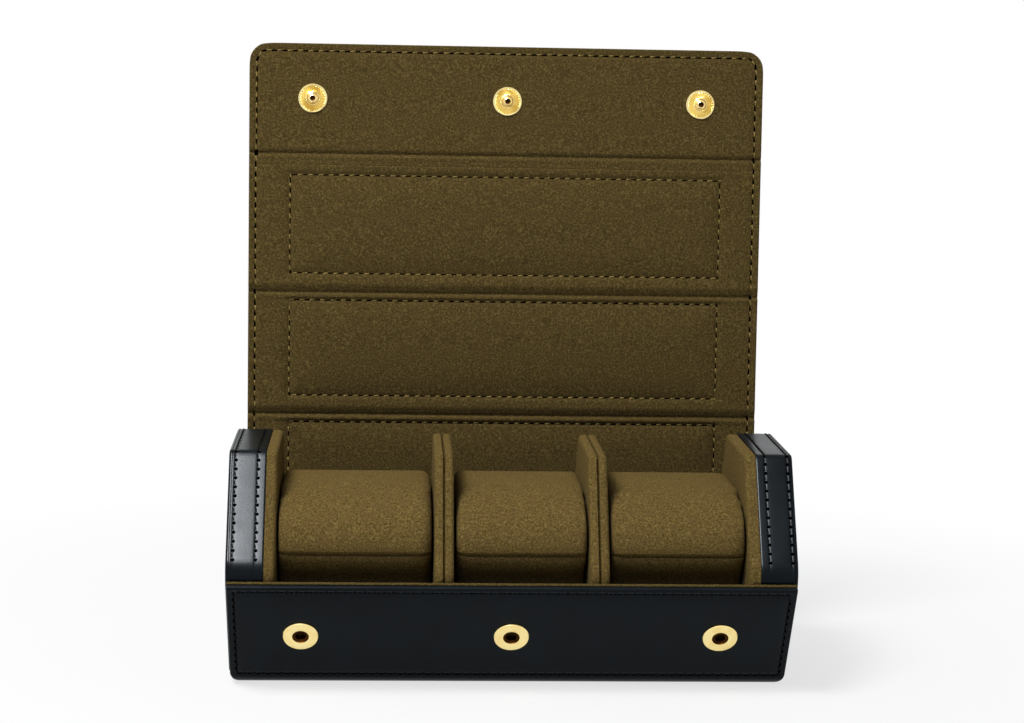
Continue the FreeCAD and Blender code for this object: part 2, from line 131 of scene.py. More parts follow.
@dataclass(frozen=True)
class CaseSizes:
    """The driving sizes of the case, as its construction has them.

    Attributes:
        side: each side of the hexagon, on the inside of the wrap.
        wide_corner, small_corner: rounding of its front and rear corners, and
            of the other four.
        leather, board, lining: thickness of the wrap's layers.
        hem: how far the boards lie inside the sheets' ends.
        board_gap: how far a board stays clear of each crease.
        case_end, end_inner: an end's two faces, from the middle of the case.
        slot_end: the face of its padded wall.
        base_end, flap_end: half the width of the fixed wrap and of the flap.
        front_shortfall, rear_shortfall: how far each wall stops short of its
            corner.
        rear_panel_start, rear_crease: where the first panel starts and ends,
            from the flap's foot.
        crease_half: half of an upper crease's strip.
        crease_above, crease_below: the closure's strip above and below its line.
        closure_length, closure_corner: the closure, and its free corners' radius.
        stud_run: the studs' place along the flap.
        snap_place: the outer snaps' place, from the middle of the case.
        socket_rise: the sockets' place, up along the front wall.
    """

    side: float = 47.25 * MM
    wide_corner: float = 11.0 * MM
    small_corner: float = 3.0 * MM
    leather: float = 1.0 * MM
    board: float = 1.0 * MM
    lining: float = 1.2 * MM
    hem: float = 5.0 * MM
    board_gap: float = 2.0 * MM
    case_end: float = 101.5 * MM
    end_inner: float = 88.1 * MM
    slot_end: float = 83.9 * MM
    base_end: float = 100.95 * MM
    flap_end: float = 99.65 * MM
    front_shortfall: float = 1.95 * MM
    rear_shortfall: float = 2.0 * MM
    rear_panel_start: float = 5.0 * MM
    rear_crease: float = 47.452 * MM
    crease_half: float = 0.9 * MM
    crease_above: float = 0.958 * MM
    crease_below: float = 3.542 * MM
    closure_length: float = 43.1 * MM
    closure_corner: float = 7.5 * MM
    stud_run: float = 169.165 * MM
    snap_place: float = 75.2 * MM
    socket_rise: float = 22.0 * MM

    @property
    def wrap(self) -> float:
        """Thickness of the whole wrap."""
        return self.leather + self.board + self.lining

    @property
    def apothem(self) -> float:
        """Half the height of the hexagon."""
        return self.side * FOLD_SINE

    @property
    def middle_height(self) -> float:
        """Height of the hexagon's widest line."""
        return self.wrap + self.apothem

    @property
    def socket_run(self) -> float:
        """The sockets' place along the fixed wrap, from its front edge."""
        return self.side - self.front_shortfall - self.socket_rise

    def corners(self, inset: float = 0.0) -> list[Place]:
        """The hexagon as (y, z), anticlockwise seen from +X, from the rear foot.

        Args:
            inset: how far the three upper sides are drawn in.
        Returns:
            Six corners.
        """
        half, mid = self.side / 2, self.middle_height
        along_y, along_z = inset / FOLD_SINE * FOLD_COSINE, inset
        share = 1 - inset / self.apothem
        top_y, top_z = half * share, mid + self.apothem * share
        return [
            (half, self.wrap),
            (self.side - along_y, mid - along_z),
            (top_y, top_z),
            (-top_y, top_z),
            (along_y - self.side, mid - along_z),
            (-half, self.wrap),
        ]


SIZES = CaseSizes()


# Modelling


def deselect_all() -> None:
    """Leaves edit mode and selects nothing."""
    if bpy.context.object and bpy.context.object.mode != "OBJECT":
        bpy.ops.object.mode_set(mode="OBJECT")
    bpy.ops.object.select_all(action="DESELECT")


def activate(piece: Piece) -> None:
    """Makes a piece the only one selected.

    Args:
        piece: what the next operators act on.
    """
    deselect_all()
    piece.select_set(True)
    bpy.context.view_layer.objects.active = piece


@contextmanager
def editing(piece: Piece, kind: str = "VERT") -> Iterator[None]:
    """Opens a piece in edit mode with nothing selected.

    Args:
        piece: the mesh to edit.
        kind: VERT, EDGE or FACE.
    """
    activate(piece)
    bpy.ops.object.mode_set(mode="EDIT")
    bpy.ops.mesh.select_mode(type=kind)
    bpy.ops.mesh.select_all(action="DESELECT")
    yield
    bpy.ops.object.mode_set(mode="OBJECT")


def pick(piece: Piece, kind: str, test: Callable[[Vector, Vector], bool]) -> int:
    """Selects the parts of a mesh in edit mode that pass a test.

    Args:
        piece: the mesh, in edit mode.
        kind: VERT, EDGE or FACE.
        test: takes a part's middle and its normal.
    Returns:
        How many were picked.
    """
    mesh = bmesh.from_edit_mesh(piece.data)
    bpy.ops.mesh.select_mode(type=kind)
    bpy.ops.mesh.select_all(action="DESELECT")
    found = 0
    if kind == "FACE":
        parts = [(f, f.calc_center_median(), f.normal) for f in mesh.faces]
    elif kind == "EDGE":
        parts = [(e, (e.verts[0].co + e.verts[1].co) / 2, e.verts[0].normal) for e in mesh.edges]
    else:
        parts = [(v, v.co, v.normal) for v in mesh.verts]
    for part, middle, normal in parts:
        if test(middle, normal):
            part.select_set(True)
            found += 1
    mesh.select_flush_mode()
    bmesh.update_edit_mesh(piece.data)
    return found


def added(name: str) -> Piece:
    """Names the primitive just added and moves its place into its mesh.

    Args:
        name: the piece's name.
    Returns:
        The piece.
    """
    piece = bpy.context.object
    piece.name = name
    piece.data.name = name
    bpy.ops.object.transform_apply(location=True, rotation=True, scale=True)
    return piece


def finish_with(piece: Piece, kind: str, **settings: object) -> None:
    """Adds a modifier with its settings and applies it.

    Args:
        piece: the mesh.
        kind: the modifier's type.
        settings: its properties.
    """
    activate(piece)
    modifier = piece.modifiers.new(kind.lower(), kind)
    for key, value in settings.items():
        setattr(modifier, key, value)
    bpy.ops.object.modifier_apply(modifier=modifier.name)


def refine(piece: Piece) -> None:
    """Subdivides a piece once, towards a smooth surface."""
    finish_with(piece, "SUBSURF", levels=1, render_levels=1)


def smooth(piece: Piece, angle: float | None = None) -> Piece:
    """Shades a piece smooth, all over or up to an angle in degrees.

    Args:
        piece: the mesh.
        angle: the sharpest edge that is still shaded smooth.
    Returns:
        The same piece.
    """
    activate(piece)
    if angle is None:
        bpy.ops.object.shade_smooth()
    else:
        bpy.ops.object.shade_smooth_by_angle(angle=math.radians(angle))
    return piece


def points_of(piece: Piece) -> np.ndarray:
    """A mesh's points as rows of x, y and z.

    Args:
        piece: the mesh.
    Returns:
        One row for each point.
    """
    flat = np.empty(len(piece.data.vertices) * 3)
    piece.data.vertices.foreach_get("co", flat)
    return flat.reshape(-1, 3)


def set_points(piece: Piece, points: np.ndarray) -> None:
    """Puts a mesh's points back after they were moved."""
    piece.data.vertices.foreach_set("co", points.ravel())
    piece.data.update()


def outwards(piece: Piece) -> None:
    """Merges doubles and turns a closed mesh's faces outwards.

    Args:
        piece: the mesh.
    """
    with editing(piece):
        bpy.ops.mesh.select_all(action="SELECT")
        bpy.ops.mesh.remove_doubles(threshold=SAME_POINT)
        bpy.ops.mesh.normals_make_consistent(inside=False)


def spread(marks: Sequence[float], pitch: float) -> list[float]:
    """Grid lines through all the marks, filled in between at about a pitch.

    Args:
        marks: places that get a line.
        pitch: about how far apart the other lines are.
    Returns:
        The places, in order.
    """
    lines: list[float] = []
    ordered = sorted(marks)
    for here, after in zip(ordered, ordered[1:]):
        if after - here < SAME_LINE:
            continue
        count = max(1, round((after - here) / pitch))
        lines += [here + (after - here) * i / count for i in range(count)]
    return lines + [ordered[-1]]


@dataclass
class SectionPath:
    """A line through the case's section that flat sheets are bent along.

    Attributes:
        start: its first point as (y, z).
        way: its first direction, in degrees from +Y towards +Z.
        legs: (straight length, turn in degrees, radius on the inner side).
        stations: run, y, z, direction and radius where each leg or arc begins.
    """

    start: Place
    way: float
    legs: Sequence[tuple[float, float, float]]
    stations: list[tuple[float, float, float, float, float]] = field(init=False)

    def __post_init__(self) -> None:
        """Lays out the runs: start, point, direction and radius of each."""
        self.stations = []
        run, (y, z), way = 0.0, self.start, self.way
        for length, turn, radius in self.legs:
            a = math.radians(way)
            self.stations.append((run, y, z, a, 0.0))
            run, y, z = run + length, y + length * math.cos(a), z + length * math.sin(a)
            if turn:
                self.stations.append((run, y, z, a, radius))
                swing = math.radians(turn)
                cy, cz = y - radius * math.sin(a), z + radius * math.cos(a)
                a += swing
                y, z = cy + radius * math.sin(a), cz - radius * math.cos(a)
                run += radius * swing
                way += turn
        self.length = run

    def bends(self) -> list[float]:
        """The runs at which its straight legs and arcs begin."""
        return [s[0] for s in self.stations] + [self.length]

    def lines(
        self, low: float, high: float, pitch: float, marks: Sequence[float] = ()
    ) -> list[float]:
        """Grid lines between two runs, close together round the arcs.

        Args:
            low, high: where they start and stop.
            pitch: about how far apart they are.
            marks: places that get a line too.
        Returns:
            The runs, in order.
        """
        lines = [low, high, *marks]
        for i, (run, _, _, _, radius) in enumerate(self.stations):
            if radius:
                stop = self.bends()[i + 1]
                lines += [run + (stop - run) * k / ARC_STEPS for k in range(ARC_STEPS + 1)]
        return spread([x for x in lines if low <= x <= high], pitch)

    def place(self, runs: np.ndarray, depths: np.ndarray) -> tuple[np.ndarray, np.ndarray]:
        """The section points of runs along the path, moved outwards by depths.

        Args:
            runs: distances along the path.
            depths: how far outwards of it each point lies.
        Returns:
            The points' y and their z.
        """
        y, z = np.empty_like(runs), np.empty_like(runs)
        starts = np.array([s[0] for s in self.stations])
        index = np.searchsorted(starts, runs + ROUNDING, side="right") - 1
        index = np.clip(index, 0, len(starts) - 1)
        for i, (run, sy, sz, a, radius) in enumerate(self.stations):
            here = index == i
            if not here.any():
                continue
            s, d = runs[here] - run, depths[here]
            if radius:
                turn = a + s / radius
                cy, cz = sy - radius * math.sin(a), sz + radius * math.cos(a)
                y[here] = cy + (radius + d) * np.sin(turn)
                z[here] = cz - (radius + d) * np.cos(turn)
            else:
                y[here] = sy + s * math.cos(a) + d * math.sin(a)
                z[here] = sz + s * math.sin(a) - d * math.cos(a)
        return y, z

    def bend(self, piece: Piece) -> Piece:
        """Bends a flat drawing (X, depth, run) along the path.

        Args:
            piece: the flat drawing.
        Returns:
            The same piece.
        """
        points = points_of(piece)
        y, z = self.place(points[:, 2].copy(), points[:, 1].copy())
        set_points(piece, np.column_stack([points[:, 0], y, z]))
        return piece


def woven_grid(name: str, across: Sequence[float], along: Sequence[float], face: Side) -> Piece:
    """A flat sheet in the drawing plane, with its lines where they are asked for.

    Args:
        name: the piece's name.
        across: places of the lines that cross X.
        along: places of the lines that cross the run.
        face: the side that its faces point to.
    Returns:
        The sheet, with the run along Z and depth 0.
    """
    deselect_all()
    bpy.ops.mesh.primitive_grid_add(
        x_subdivisions=len(across) - 1,
        y_subdivisions=len(along) - 1,
        size=1,
        rotation=(-face.value * math.pi / 2, 0, 0),
    )
    piece = added(name)
    points = points_of(piece)
    columns = np.rint((points[:, 0] + 0.5) * (len(across) - 1)).astype(int)
    rows = np.rint((points[:, 2] + 0.5) * (len(along) - 1)).astype(int)
    flat = np.column_stack([np.array(across)[columns], np.zeros(len(points)), np.array(along)[rows]])
    set_points(piece, flat)
    return piece


def row_marks(place: float, width: float) -> list[float]:
    """The middle and both edges of the channel that a sewn line makes."""
    return [place + step * width for step in (-1, 0, 1)]


def edge_marks(reach: float, edge: float) -> list[float]:
    """Lines at a sheet's end and at its boards' end, with one beside each."""
    board = reach - SIZES.hem
    return [reach, reach - edge, board, board + edge]


def thicken(piece: Piece, back: float) -> None:
    """Gives a flat sheet its thickness, with a back that is flat at a depth.

    Args:
        piece: the sheet.
        back: the back's depth.
    """
    shown = len(piece.data.vertices)
    depth = float(points_of(piece)[:, 1].mean())
    finish_with(piece, "SOLIDIFY", thickness=abs(back - depth), offset=-1.0)
    points = points_of(piece)
    points[shown:, 0], points[shown:, 2] = points[:shown, 0], points[:shown, 2]
    points[shown:, 1] = back
    set_points(piece, points)


def hold_ends(piece: Piece, runs: Sequence[float]) -> None:
    """Creases the edges at the given runs, so that they meet their neighbour.

    Args:
        piece: the sheet, still flat.
        runs: where its edges meet another piece's.
    """
    with editing(piece, "EDGE"):
        if pick(piece, "EDGE", lambda co, _: min(abs(co.z - run) for run in runs) < SAME_PLACE):
            bpy.ops.transform.edge_crease(value=1)


def round_corners(points: np.ndarray, reach: float, high: float, radius: float) -> np.ndarray:
    """Draws the two free corners of a sheet in to a radius.

    Args:
        points: rows of x, depth and run.
        reach: half the sheet's width.
        high: the run of its free edge.
        radius: the corners' radius.
    Returns:
        The points with the corners drawn in.
    """
    a = np.abs(points[:, 0]) - (reach - radius)
    b = points[:, 2] - (high - radius)
    corner = (a > 0) & (b > 0)
    a, b = a[corner], b[corner]
    share = np.maximum(a, b) / np.hypot(a, b)
    moved = points.copy()
    moved[corner, 0] = np.sign(points[corner, 0]) * (reach - radius + a * share)
    moved[corner, 2] = high - radius + b * share
    return moved


def channel(distance: np.ndarray, depth: float, width: float) -> np.ndarray:
    """How deep a sewn line draws a sheet in, at distances from the line."""
    return depth * np.exp(-((distance / width) ** 2))


def outside(points: np.ndarray, reach: float, low: float, high: float) -> np.ndarray:
    """How far flat points lie outside a rectangle, or inside it if negative.

    Args:
        points: rows of x, depth and run.
        reach: half the rectangle's length along X.
        low, high: where it starts and stops along the run.
    Returns:
        One distance for each point.
    """
    dx = np.abs(points[:, 0]) - reach
    dr = np.maximum(low - points[:, 2], points[:, 2] - high)
    return np.where((dx > 0) & (dr > 0), np.hypot(dx, dr), np.maximum(dx, dr))


def seat_on_boards(piece: Piece, reach: float, spans: Route) -> None:
    """Lifts a leather sheet's back off the stiffening boards that it covers.

    Args:
        piece: the sheet, flat and with its thickness.
        reach: half the boards' length along X.
        spans: where each board starts and stops along the sheet.
    """
    points = points_of(piece)
    back = np.abs(points[:, 1] - SIZES.lining) < SAME_PLACE
    for low, high in spans:
        over = back & (outside(points, reach, low, high) < SAME_PLACE)
        points[over, 1] += SIZES.board
    set_points(piece, points)


# Finishes


def linear(code: str) -> tuple[float, float, float, float]:
    """Turns an sRGB hex colour to linear light.

    Args:
        code: a # and six hex digits.
    Returns:
        Red, green, blue and alpha.
    """
    values = [int(code[i : i + 2], 16) / 255 for i in (1, 3, 5)]
    bright = [v / 12.92 if v <= 0.04045 else ((v + 0.055) / 1.055) ** 2.4 for v in values]
    return (*bright, 1.0)


def add_node(
    tree: Tree,
    kind: str,
    values: dict[str | int, object] | None = None,
    links: dict[str | int, Socket] | None = None,
    **settings: object,
) -> bpy.types.Node:
    """Adds a shader node.

    Args:
        tree: the material's or world's node tree.
        kind: the node's type.
        values: socket values by name or number.
        links: what feeds its sockets, by name or number.
        settings: the node's own properties.
    Returns:
        The node.
    """
    node = tree.nodes.new(kind)
    for key, value in settings.items():
        setattr(node, key, value)
    for key, value in (values or {}).items():
        node.inputs[key].default_value = value
    for key, source in (links or {}).items():
        tree.links.new(source, node.inputs[key])
    return node


def ramp(tree: Tree, factor: Socket, stops: Sequence[tuple[float, str]]) -> Socket:
    """A colour ramp through hex colours.

    Args:
        tree: the material's node tree.
        factor: what runs through the ramp.
        stops: (place, hex colour) of each stop.
    Returns:
        The ramp's colour.
    """
    node = add_node(tree, "ShaderNodeValToRGB", links={"Fac": factor})
    elements = node.color_ramp.elements
    while len(elements) < len(stops):
        elements.new(0.5)
    for element, (place, code) in zip(elements, stops):
        element.position = place
        element.color = linear(code)
    return node.outputs["Color"]


def blank_material(name: str) -> tuple[bpy.types.Material, Tree, Socket]:
    """A material with an empty tree, and its Object coordinates.

    Args:
        name: the material's name.
    Returns:
        The material, its tree and the coordinates.
    """
    material = bpy.data.materials.new(name)
    material.use_nodes = True
    material.node_tree.nodes.clear()
    place = add_node(material.node_tree, "ShaderNodeTexCoord")
    return material, material.node_tree, place.outputs["Object"]


def surface(tree: Tree, values: dict, links: dict) -> None:
    """Ends a material in a principled surface."""
    shader = add_node(tree, "ShaderNodeBsdfPrincipled", values, links)
    add_node(tree, "ShaderNodeOutputMaterial", links={"Surface": shader.outputs[0]})


def noise(tree: Tree, place: Socket, size: float, **values: float) -> Socket:
    """Noise whose features have a real size in metres."""
    inputs = {"Scale": 1 / size, "Detail": 2.0, **{k.capitalize(): v for k, v in values.items()}}
    return add_node(tree, "ShaderNodeTexNoise", inputs, {"Vector": place}).outputs["Fac"]


@dataclass(frozen=True)
class Suede:
    """Microfibre suede: short raised nap, so no shine, and a mottled tone.

    The nap itself is under 0.2 mm. It is drawn as tufts of over half a
    millimetre, the coarsest that the eye still takes for nap. Where a hand
    has brushed it, the tone turns a little browner.

    Attributes:
        low, middle, high, brown: the tones between its tufts, of them, on
            their tips, and where it is brushed.
        tuft, brushed: size of the tufts and of the brushed places.
        tones: where the three tones lie in the tufts' pattern.
        brush: the brushed pattern's start and end, and its most brown.
        nap_height: how far the tufts stand up.
        sheen, shine: how much its nap glows, and how much it reflects.
    """

    name: str
    low: str
    middle: str
    high: str
    brown: str
    tuft: float = 0.7 * MM
    brushed: float = 2.2 * MM
    tones: tuple[float, float, float] = (0.55, 0.75, 0.95)
    brush: tuple[float, float, float] = (0.4, 0.7, 0.6)
    nap_height: float = 0.2 * MM
    sheen: float = 0.06
    shine: float = 0.05

    def build(self) -> bpy.types.Material:
        """Makes the material.

        Returns:
            The material.
        """
        material, tree, place = blank_material(self.name)
        tufts = noise(tree, place, self.tuft, detail=3.0, roughness=0.6)
        fibres = noise(tree, place, self.tuft / 3, detail=2.0)
        fed = {0: fibres, 2: tufts}
        both = add_node(tree, "ShaderNodeMath", {1: 0.5}, fed, operation="MULTIPLY_ADD").outputs[0]
        nap = ramp(tree, both, list(zip(self.tones, (self.low, self.middle, self.high))))
        hand = noise(tree, place, self.brushed, detail=2.0)
        span = dict(zip(("From Min", "From Max", "To Max"), self.brush))
        turned = add_node(tree, "ShaderNodeMapRange", span, {"Value": hand})
        tone, fed = {"B": linear(self.brown)}, {"Factor": turned.outputs[0], "A": nap}
        colour = add_node(tree, "ShaderNodeMix", tone, fed, data_type="RGBA")
        raised = {"Strength": 0.35, "Distance": self.nap_height}
        bump = add_node(tree, "ShaderNodeBump", raised, {"Height": both})
        values = {
            "Roughness": 0.95,
            "Sheen Weight": self.sheen,
            "Sheen Roughness": 0.5,
            "Sheen Tint": linear(self.high),
            "Specular IOR Level": self.shine,
        }
        surface(tree, values, {"Base Color": colour.outputs["Result"], "Normal": bump.outputs[0]})
        return material


@dataclass(frozen=True)
class Leather:
    """Black coated leather: a fine pebbled grain under a soft, even shine.

    Attributes:
        dark, light: the two tones of its soft clouds.
        sheen: tint of its shine, a faint blue: painted reflection of a bluish surround.
        grain, grain_height: size of its pebbles, and how far they stand up.
        cloud: size of the clouds, in which tone and polish change a little.
        roughness: how dull it is where it is polished the most.
        shine: how much it reflects.
    """

    name: str
    dark: str
    light: str
    sheen: str = "#f5faff"
    grain: float = 0.9 * MM
    grain_height: float = 0.1 * MM
    cloud: float = 14 * MM
    roughness: float = 0.28
    shine: float = 0.094

    def build(self) -> bpy.types.Material:
        """Makes the material.

        Returns:
            The material.
        """
        material, tree, place = blank_material(self.name)
        wobble = noise(tree, place, self.grain / 2, detail=3.0)
        values, fed = {"Scale": 1 / self.grain, "Randomness": 0.9}, {"Vector": place}
        cells = add_node(tree, "ShaderNodeTexVoronoi", values, fed, feature="DISTANCE_TO_EDGE")
        fed = {0: wobble, 2: cells.outputs["Distance"]}
        pebble = add_node(tree, "ShaderNodeMath", {1: 0.5}, fed, operation="MULTIPLY_ADD")
        raised = {"Strength": 0.2, "Distance": self.grain_height}
        bump = add_node(tree, "ShaderNodeBump", raised, {"Height": pebble.outputs[0]})
        cloud = noise(tree, place, self.cloud, detail=3.0)
        colour = ramp(tree, cloud, [(0.3, self.dark), (0.7, self.light)])
        polish = {"To Min": self.roughness - 0.05, "To Max": self.roughness + 0.1}
        worn = add_node(tree, "ShaderNodeMapRange", polish, {"Value": cloud})
        # The shine's faint blue tint is a painted reflection of a bluish surround
        values = {"Specular IOR Level": self.shine, "Specular Tint": linear(self.sheen)}
        fed = {"Base Color": colour, "Roughness": worn.outputs[0], "Normal": bump.outputs[0]}
        surface(tree, values, fed)
        return material


@dataclass(frozen=True)
class Brass:
    """Pressed brass, tumbled and plated: a bright, slightly soft mirror.

    Attributes:
        tone, shade: the metal's colour, and the one of its duller clouds.
        roughness: how dull it is where it is polished the most.
        cloud: size of the clouds.
    """

    name: str
    tone: str
    shade: str
    roughness: float = 0.14
    cloud: float = 5 * MM

    def build(self) -> bpy.types.Material:
        """Makes the material.

        Returns:
            The material.
        """
        material, tree, place = blank_material(self.name)
        cloud = noise(tree, place, self.cloud, detail=2.0)
        colour = ramp(tree, cloud, [(0.3, self.shade), (0.6, self.tone)])
        span = {"To Min": self.roughness, "To Max": self.roughness + 0.08}
        polish = add_node(tree, "ShaderNodeMapRange", span, {"Value": cloud})
        surface(tree, {"Metallic": 1.0}, {"Base Color": colour, "Roughness": polish.outputs[0]})
        return material


@dataclass(frozen=True)
class Grained:
    """A dry material with a fine grain: twisted thread, pressed board or foam.

    Attributes:
        dark, light: its tones between and on the grain.
        grain, detail: size of its strands, fibres or cells, and how broken up
            they are.
        roughness, shine: how dull it is, and how much it reflects.
        grain_height: how far the grain stands up.
    """

    name: str
    dark: str
    light: str
    grain: float = 0.5 * MM
    detail: float = 1.0
    roughness: float = 0.6
    shine: float = 0.3
    grain_height: float = 0.12 * MM

    def build(self) -> bpy.types.Material:
        """Makes the material.

        Returns:
            The material.
        """
        material, tree, place = blank_material(self.name)
        grains = noise(tree, place, self.grain, detail=self.detail)
        colour = ramp(tree, grains, [(0.35, self.dark), (0.65, self.light)])
        raised = {"Strength": 0.35, "Distance": self.grain_height}
        bump = add_node(tree, "ShaderNodeBump", raised, {"Height": grains})
        values = {"Roughness": self.roughness, "Specular IOR Level": self.shine}
        surface(tree, values, {"Base Color": colour, "Normal": bump.outputs[0]})
        return material


class Finish(Enum):
    """Every finish on the case, by what it is."""

    # Dyed microfibre: dull and warm, with darker hollows between its tufts. The second copy is painted
    # lighter: painted light on the cushions, dividers and padded walls, for light falling on upturned faces
    FLAP_SUEDE = Suede("microfibre_suede_olive", "#30270e", "#4a3d1b", "#6b5c33", "#4b3a1e")
    CUSHION_SUEDE = Suede("microfibre_suede_tan", "#3f3415", "#5b4b23", "#7e6c3d", "#5c4628")
    # Split leather under a black coat, with a broad grey shine; the blue in its black and in its shine's
    # tint is a painted reflection of a bluish surround
    LEATHER = Leather("coated_leather_black", "#03080c", "#070f14")
    # Tumbled and gilt: pale gold, almost a mirror. The studs' copy is crisper on the flutes and painted
    # darker: painted shade for the dark room that they reflect
    GILT = Brass("gilt_brass", "#fbe6a2", "#f3d78a")
    STUD_GILT = Brass("gilt_brass_fluted", "#f2dfa0", "#dcc27a", roughness=0.1)
    # Brass deep in the snaps, painted dark brown and dull: painted shade of the holes that it lies in
    SPRING = Brass("unplated_spring_brass", "#4a2a0a", "#2a1604", roughness=0.5)
    POST = Brass("unplated_brass", "#4e2c0c", "#301a06", roughness=0.5)
    # Spun polyester: its twist shows as light and dark along each stitch
    OLIVE_THREAD = Grained("polyester_thread_olive", "#54461c", "#978246", shine=0.1)
    BLACK_THREAD = Grained("polyester_thread_black", "#020203", "#060608", roughness=0.8, shine=0.05)
    # Painted shade: near black in the dent of each needle hole, where the hole's shade falls
    NEEDLE_HOLE = Grained("needle_hole_shadow", "#030201", "#080603", roughness=0.95, shine=0.0)
    # Pressed board: matt, with short fibres; the dyed one shows at a divider's edge
    BOARD = Grained(
        "grey_fibre_board", "#4f4a41", "#8a8272", grain=0.8 * MM, detail=5.0, roughness=0.9
    )
    DARK_BOARD = Grained(
        "dyed_fibre_board", "#4c3c1c", "#6b5830", 0.8 * MM, detail=5.0, roughness=0.95, shine=0.0
    )
    # Cut foam: pale and matt, with open cells
    FOAM = Grained("white_foam", "#c9c6bd", "#efece4", grain=0.4 * MM, detail=5.0, roughness=0.9)

    def material(self) -> bpy.types.Material:
        """The finish's material, made once."""
        return bpy.data.materials.get(self.value.name) or self.value.build()


def dress(piece: Piece, *finishes: Finish) -> None:
    """Gives a piece its finishes, in the order of its slots.

    Args:
        piece: the mesh.
        finishes: one for each slot.
    """
    piece.data.materials.clear()
    for finish in finishes:
        piece.data.materials.append(finish.material())


# Thread


@dataclass(frozen=True)
class Seam:
    """A run of stitches in the flat drawing.

    Attributes:
        name: the piece's name.
        route: its corners as (x, run).
        depth: depth of the surface that it is sewn through.
        face: the side on which it shows.
        thread: its finish.
        sink: how far the sewn line is drawn in.
        pitch: distance from needle hole to needle hole.
        slant: how far each stitch turns from the line, in degrees.
        thick: the thread's thickness.
        hole: length and width of the dent that each needle hole makes.
        hole_depth, hole_place: its depth, and its middle's height.
        shown: how much of the pitch is thread.
        straight: how much of each half of a stitch lies straight.
        taper: size of a stitch's ends, and how far they dive, for its thickness.
        stand, settle: how far up the thread lies, for its thickness, and how
            far down, for the sink.
    """

    name: str
    route: Route
    depth: float
    face: Side
    thread: Finish
    sink: float
    pitch: float = 4.0 * MM
    slant: float = 8.0
    thick: float = 0.5 * MM
    hole: Place = (2.5 * MM, 0.95 * MM)
    hole_depth: float = 0.5 * MM
    hole_place: float = -0.27 * MM
    shown: float = 0.54
    straight: float = 0.3
    taper: float = 0.62
    stand: float = 0.25
    settle: float = 0.8

    def one_stitch(self) -> Piece:
        """Models one stitch: a thread that dives into a hole at its end.

        Returns:
            The stitch, along X at the origin.
        """
        deselect_all()
        length, (long, wide) = self.pitch * self.shown, self.hole
        bpy.ops.mesh.primitive_cone_add(
            vertices=8,
            radius1=0,
            radius2=wide / 2,
            depth=self.hole_depth,
            location=(self.pitch / 2, 0, self.hole_place),
            scale=(long / wide, 1, 1),
        )
        hole = added(self.name + "_hole")
        # The dent is painted near black: painted shade of the needle hole
        dress(hole, Finish.NEEDLE_HOLE)
        deselect_all()
        bpy.ops.mesh.primitive_cylinder_add(
            vertices=7, radius=self.thick / 2, depth=length, rotation=(0, math.pi / 2, 0)
        )
        stitch = added(self.name)
        with editing(stitch):
            for share in (-self.straight, self.straight):
                bpy.ops.mesh.select_all(action="SELECT")
                bpy.ops.mesh.bisect(plane_co=(share * length, 0, 0), plane_no=(1, 0, 0))
            for end in (-1, 1):
                pick(stitch, "VERT", lambda co, _: co.x * end > length * 0.45)
                tip = (end * length / 2, 0, 0)
                bpy.ops.transform.resize(value=(1, self.taper, self.taper), center_override=tip)
                bpy.ops.transform.translate(value=(0, 0, -self.taper * self.thick))
        # Its second slot paints the hole's dent near black: painted shade
        dress(stitch, self.thread, Finish.NEEDLE_HOLE)
        hole.select_set(True)
        bpy.ops.object.join()
        return stitch

    def placements(self) -> list[Matrix]:
        """Where each stitch lies along the route.

        Returns:
            One matrix for each stitch.
        """
        corners = [Vector(point) for point in self.route]
        lengths = [(b - a).length for a, b in zip(corners, corners[1:])]
        total = sum(lengths)
        count = max(1, round(total / self.pitch))
        turn = Matrix.Rotation(math.radians(self.slant), 4, "Z")
        rise = self.face.value * (self.thick * self.stand - self.sink * self.settle)
        found = []
        for i in range(count):
            left, leg = (i + 0.5) * total / count, 0
            while leg < len(lengths) - 1 and left > lengths[leg]:
                left -= lengths[leg]
                leg += 1
            way = (corners[leg + 1] - corners[leg]).normalized()
            x, run = corners[leg] + way * left
            up = Vector((0, self.face.value, 0))
            ahead = Vector((way.x, 0, way.y))
            basis = Matrix((ahead, up.cross(ahead), up)).transposed().to_4x4()
            found.append(Matrix.Translation((x, self.depth + rise, run)) @ basis @ turn)
        return found

    def build(self, path: SectionPath) -> Piece:
        """Copies the stitch along the route, joins the copies and bends them.

        Args:
            path: the line that the drawing is bent along.
        Returns:
            The row of stitches.
        """
        first = self.one_stitch()
        copies = []
        for place in self.placements():
            copy = first.copy()
            copy.data = first.data.copy()
            copy.data.transform(place)
            bpy.context.scene.collection.objects.link(copy)
            copies.append(copy)
        bpy.data.objects.remove(first)
        activate(copies[0])
        for copy in copies:
            copy.select_set(True)
        if len(copies) > 1:
            bpy.ops.object.join()
        row = bpy.context.object
        row.name = self.name
        return smooth(path.bend(row), THREAD_ANGLE)


# The fixed wrap


# The wrap's inner face, from the front wall's top edge to the rear wall's
BASE_PATH = SectionPath(
    (
        -SIZES.side + SIZES.front_shortfall * FOLD_COSINE,
        SIZES.middle_height - SIZES.front_shortfall * FOLD_SINE,
    ),
    -FOLD,
    [
        (
            SIZES.side - SIZES.front_shortfall - SIZES.small_corner * CORNER_SHARE,
            FOLD,
            SIZES.small_corner,
        ),
        (SIZES.side - 2 * SIZES.small_corner * CORNER_SHARE, FOLD, SIZES.small_corner),
        (SIZES.side - SIZES.rear_shortfall - SIZES.small_corner * CORNER_SHARE, 0, 0),
    ],
)


